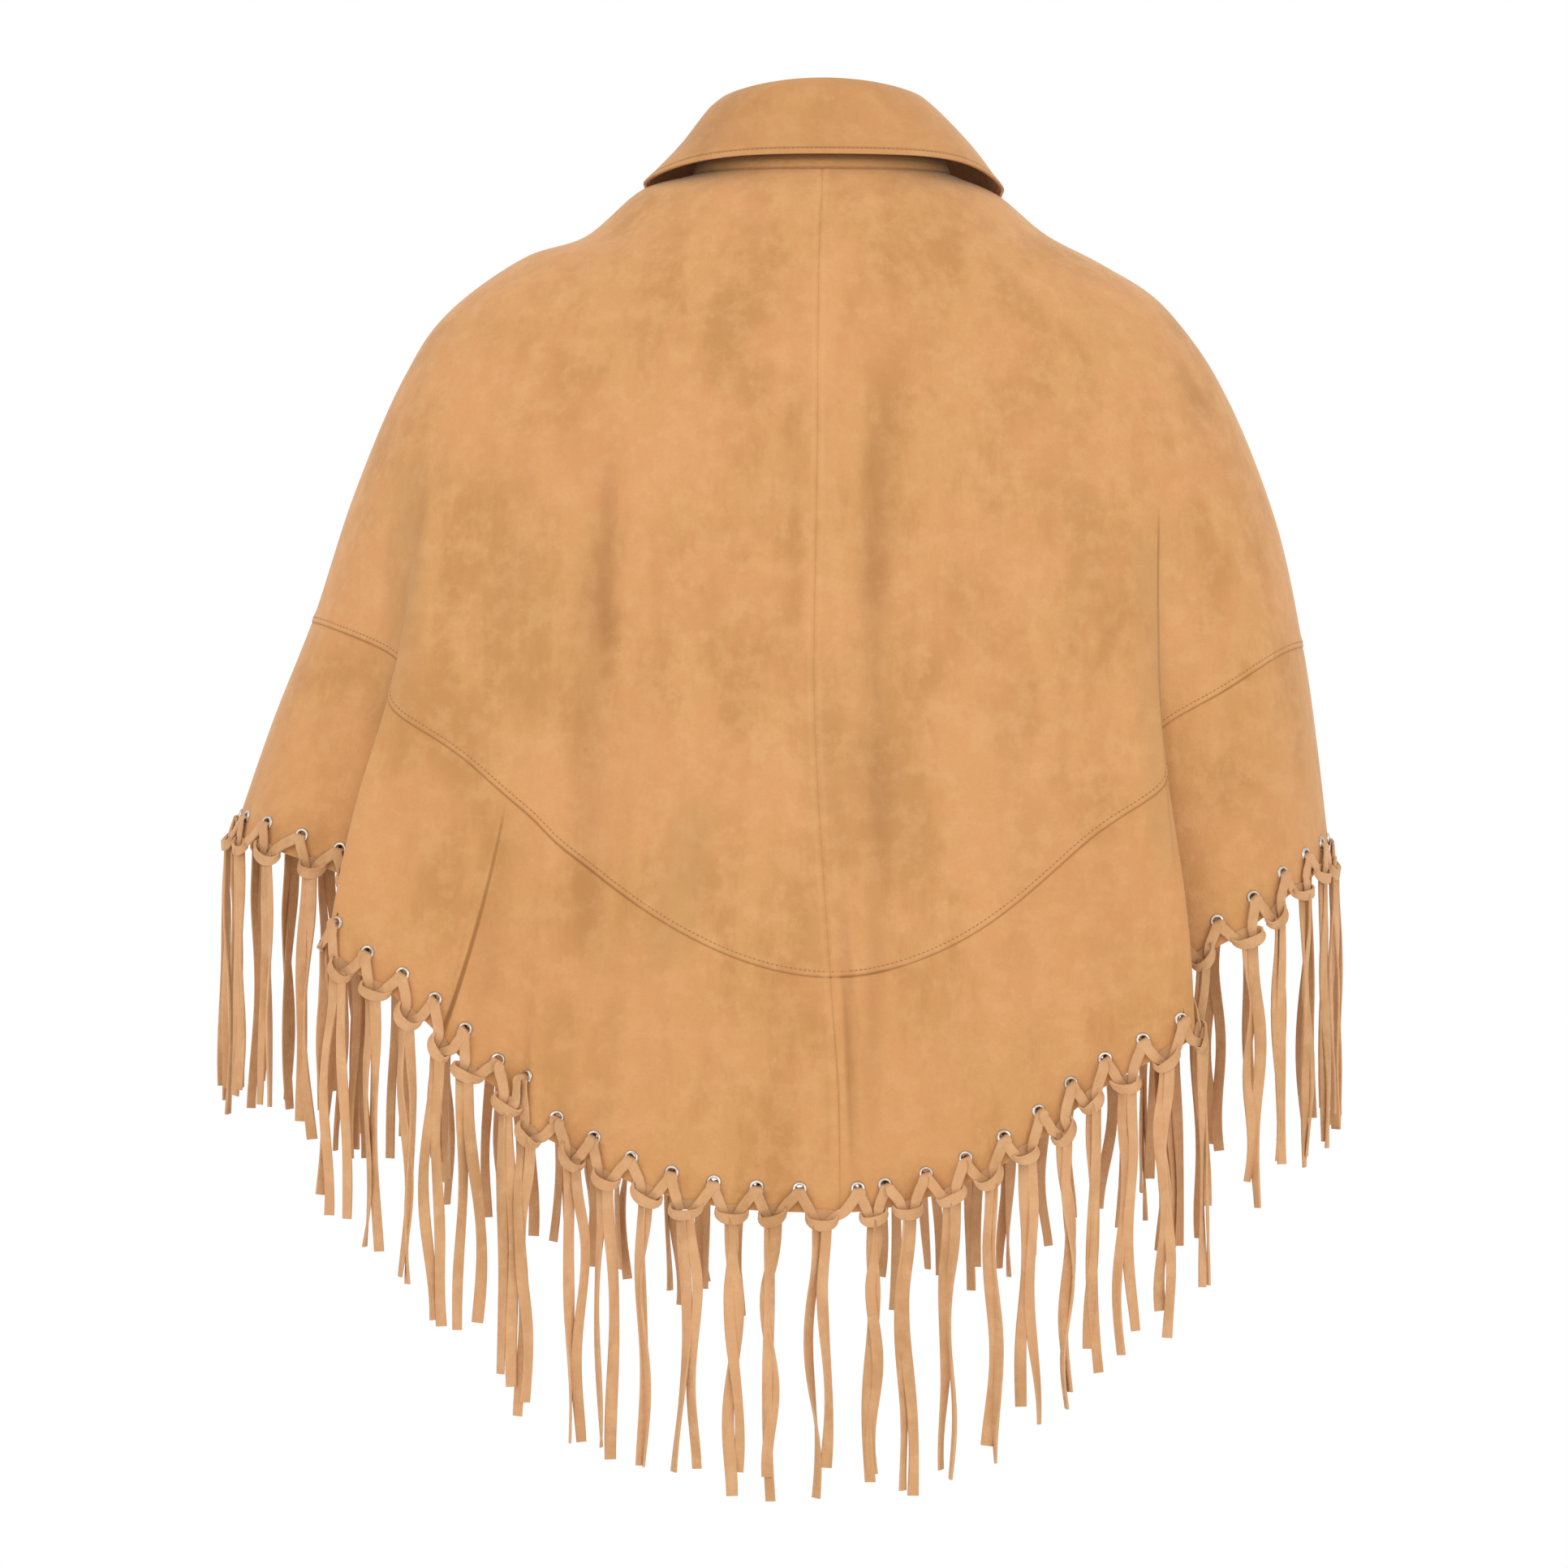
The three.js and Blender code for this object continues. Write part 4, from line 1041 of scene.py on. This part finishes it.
# Panels: backs, fronts and the border under each. A front's side edge laps under the back, and the
# left back's centre edge under the right's.
quarters = {
    "front_left": {"from": -1.0, "to": -0.5, "first": "stitched", "last": "underSide"},
    "back_left": {"from": -0.5, "to": 0.0, "first": "plain", "last": "underSide"},
    "back_right": {"from": 0.0, "to": 0.5, "first": "plain", "last": "plain"},
    "front_right": {"from": 0.5, "to": 1.0, "first": "underSide", "last": "stitched"},
}
fineSteps = 1500


def quarterColumns(quarter):
    places = np.linspace(quarter["from"], quarter["to"], fineSteps)
    points = capePoint(places, clothCut["pitchDown"])
    crowd = np.zeros(len(places))
    for fold in capeFolds:
        away = (points[:, 0] - foldLine(fold, clothCut["pitchDown"])) / clothCut["foldReach"]
        sameHalf = (fold["half"] == "back") == (np.abs(places) < 0.5)
        crowd += np.where(sameHalf & (fold["lap"] > 3), np.exp(-(away**2)), 0)
    laps = [clothCut["lap"] if quarter[side] == "underSide" else 0 for side in ("first", "last")]
    crowd = clothCut["foldCrowding"] * np.minimum(1, crowd)
    return spacedPlaces(places, points, clothCut["pitch"], crowd, laps=laps)


def panelRows(first, last, laps=(0, 0)):
    places = np.linspace(first, last, fineSteps)
    return spacedPlaces(places, capePoint(clothCut["pitchAround"], places), clothCut["pitch"], laps=laps)


borderAt = clothCut["borderAt"]
upperRows = panelRows(0, borderAt)
borderRows = panelRows(borderAt, 1, (clothCut["lap"], 0))

panels = {}
for name, quarter in quarters.items():
    columns = quarterColumns(quarter)
    sides = {"first": quarter["first"], "last": quarter["last"]}
    seams = {"first": quarter["from"], "last": quarter["to"]}
    inQuarter = (eyelets > quarter["from"]) & (eyelets < quarter["to"])
    panels[name] = clothShell(
        name + "_panel", capePoint, columns, upperRows,
        {**sides, "top": "plain", "bottom": "lapped"}, {**seams, "top": 0, "bottom": borderAt})
    panels["border_" + name] = clothShell(
        "border_" + name + "_panel", capePoint, columns, borderRows,
        {**sides, "top": "underTop", "bottom": "cut"}, {**seams, "top": borderAt, "bottom": 1},
        holes=holes[inQuarter])
    print(name, "panel and border made")

# Collar: the fall turned over the stand
places = np.linspace(-1, 1, fineSteps)
collarColumns = spacedPlaces(places, fallPoint(places, 1.0), 3.6)
standRows = np.concatenate([[-0.1, -0.05, -0.02, -0.01], np.linspace(0, 0.06, 4), np.linspace(0.12, 1, 11)])
places = np.linspace(0, 1, fineSteps)
fallRows = spacedPlaces(places, fallPoint(0.0, places), 3.2, near=(False, True))
collarSeams = {"first": -1, "last": 1, "top": 0, "bottom": 1}


# The stand is dark behind, where the fall covers it, from 6 mm above the neck seam.
def standShade(around, up):
    return 2 * eased((up - 0.1) / 0.04) * eased((0.56 - np.abs(around)) / 0.08)


# The fall carries painted shade to the left behind, and painted shadow inside wherever it lies close over
# the shoulders.
def fallShade(around, down):
    return 0.34 * np.exp(-(((around + 0.3) / 0.12) ** 2)) * eased((1 - down) / 0.2)


def fallInsideShade(around, down):
    return 1.6 * eased((0.6 - np.abs(around)) / 0.1)


panels["collar_stand"] = clothShell(
    "collar_stand_panel", standPoint, collarColumns, standRows,
    {"first": "cut", "last": "cut", "top": "underTop", "bottom": "neck"},
    collarSeams, -1, creases=False, shade=standShade)
panels["collar_fall"] = clothShell(
    "collar_fall_panel", fallPoint, collarColumns, fallRows,
    {"first": "stitched", "last": "stitched", "top": "neck", "bottom": "stitched"},
    collarSeams, thick=clothCut["fallThick"], creases=False, shade=fallShade, insideShade=fallInsideShade)
print("collar made")

# Lacing and fringe
fringes = {}
for name, quarter in quarters.items():
    first = int(np.searchsorted(eyelets, quarter["from"]))
    last = min(int(np.searchsorted(eyelets, quarter["to"])), len(eyelets) - 1)
    fringes[name] = makeFringe("lace_and_fringe_" + name, first, last)
    print(name, "laced with", 2 * (last - first), "strands")

# Eyelets: a rolled ring in front, a barrel through the suede and a flatter ring inside
eyeletProfile = {
    "radius": [2.5, 2.65, 3.1, 3.7, 4.2, 4.35, 3.9, 2.7, 2.7, 3.8, 4.2, 2.45],
    "out": [0.55, 0.95, 1.2, 1.1, 0.6, 0.15, 0.1, 0.0, -1.6, -1.65, -2.05, -2.2],
}
eyeletSides = 18


def makeEyelets():
    point, normals, edges = hemPoint(eyelets, np.full(len(eyelets), float(lacing["rise"])), 0)[:3]
    ups = np.cross(normals, edges)
    angle = np.linspace(0, 2 * np.pi, eyeletSides, endpoint=False)[:, None]
    radius, out = (np.array(eyeletProfile[key]) for key in ("radius", "out"))
    ring = edges[:, None] * np.cos(angle) + ups[:, None] * np.sin(angle)
    points = (point[:, None, None] + ring[:, :, None] * radius[:, None]
              + normals[:, None, None] * out[:, None])
    corners = len(radius)
    a = np.arange(eyeletSides)[:, None] * corners
    b = np.roll(a, -1, axis=0)
    k = np.arange(corners)[None]
    ahead = (k + 1) % corners
    quads = np.stack([a + k, b + k, b + ahead, a + ahead], -1).reshape(-1, 4)
    quads = (quads[None] + (np.arange(len(eyelets)) * eyeletSides * corners)[:, None, None]).reshape(-1, 4)
    vertices = points.reshape(-1, 3)
    return makeMesh("eyelets", vertices, facingOut(vertices, quads), sharpAngle=1.2)


eyeletRings = makeEyelets()
print(len(eyelets), "eyelets made")

# Topstitching: each stitch is a short thread that rises out of the suede and dips back into it
stitching = {
    "pitch": 2.7, "long": 1.8, "wide": 0.5,
    "arch": 0.28,  # rise of a stitch's middle over its ends
    "sunk": 0.12,  # its ends under the line
    "fromEnds": 1.2,
    "aboveSeam": 3.0,
    "inFromEdge": 3.8,
    "seamLift": 0.28,  # of the line over the panel
    "edgeLift": 0.05,
}


def makeStitches(name, rows):
    paths, faces = [], []
    along = np.linspace(-1, 1, 5)
    for points, normals in rows:
        lengths = lengthsAlong(points)
        at = np.arange(stitching["fromEnds"], lengths[-1] - stitching["fromEnds"], stitching["pitch"])
        at = at[:, None] + stitching["long"] / 2 * along
        path = np.stack([np.interp(at, lengths, points[:, k]) for k in range(3)], -1)
        face = unit(np.stack([np.interp(at, lengths, normals[:, k]) for k in range(3)], -1))
        paths.append(path + face * (stitching["arch"] * (1 - along**2) - stitching["sunk"])[:, None])
        faces.append(face)
    wide = stitching["wide"] * np.array([0.5, 0.95, 1, 0.95, 0.5])
    return joinedBands(name, [{"paths": np.concatenate(paths), "faces": np.concatenate(faces),
                               "widths": wide, "thicks": 0.5 * wide, "section": threadSection}])


# A line of points over a surface's outer face, with their normals.
def stitchLine(surface, around, down, lift, hasCreases=True):
    normal = directions(surface, around, down)[2]
    point = surface(around, down)
    return point + normal * (faceRelief(point, hasCreases)[0] + lift)[..., None], normal


# Lines down both front edges of a surface.
def frontLines(surface, down, hasCreases):
    lines = []
    for hand in (-1, 1):
        across = directions(surface, hand, down)[0]
        around = hand * (1 - stitching["inFromEdge"] / length(across))
        lines.append(stitchLine(surface, around, down, stitching["edgeLift"], hasCreases))
    return lines


# A line over the border seam of one quarter.
def seamLine(quarter):
    around = np.linspace(quarter["from"], quarter["to"], 6000)[1:-1]
    across, along, normal = directions(capePoint, around, borderAt)
    down = borderAt - stitching["aboveSeam"] / squareScales(across, along)[0]
    return stitchLine(capePoint, around, down, stitching["seamLift"])


# A line round the fall's outer edge.
def fallLine():
    around = np.linspace(-0.985, 0.985, 1600)
    down = 1 - stitching["inFromEdge"] / length(directions(fallPoint, around, 1.0)[1])
    return stitchLine(fallPoint, around, down, stitching["edgeLift"], False)


stitchRows = {
    "seam_stitching": [seamLine(quarter) for quarter in quarters.values()],
    "front_edge_stitching": frontLines(capePoint, np.linspace(0.02, 0.998, 900), True),
    "collar_stitching": [fallLine(), *frontLines(fallPoint, np.linspace(0.12, 0.95, 300), False)],
}
stitches = {name: makeStitches(name, rows) for name, rows in stitchRows.items()}
print("stitching made")

# Materials, what each piece rides on and what it stands for
for name, fringe in fringes.items():
    finish(fringe, suedes["lace"], "lace_suede", ["fringe_" + name])
finish(eyeletRings, metal)
for piece in stitches.values():
    finish(piece, thread)
carried = {"border_" + name: [fringe] for name, fringe in fringes.items()}
carried["collar_fall"] = [stitches["collar_stitching"]]
for node, (piece, cut, area) in panels.items():
    kind = node.split("_")[0]
    kind = kind if kind in ("border", "collar") else "body"
    finish(piece, suedes[kind], kind + "_suede", [node])
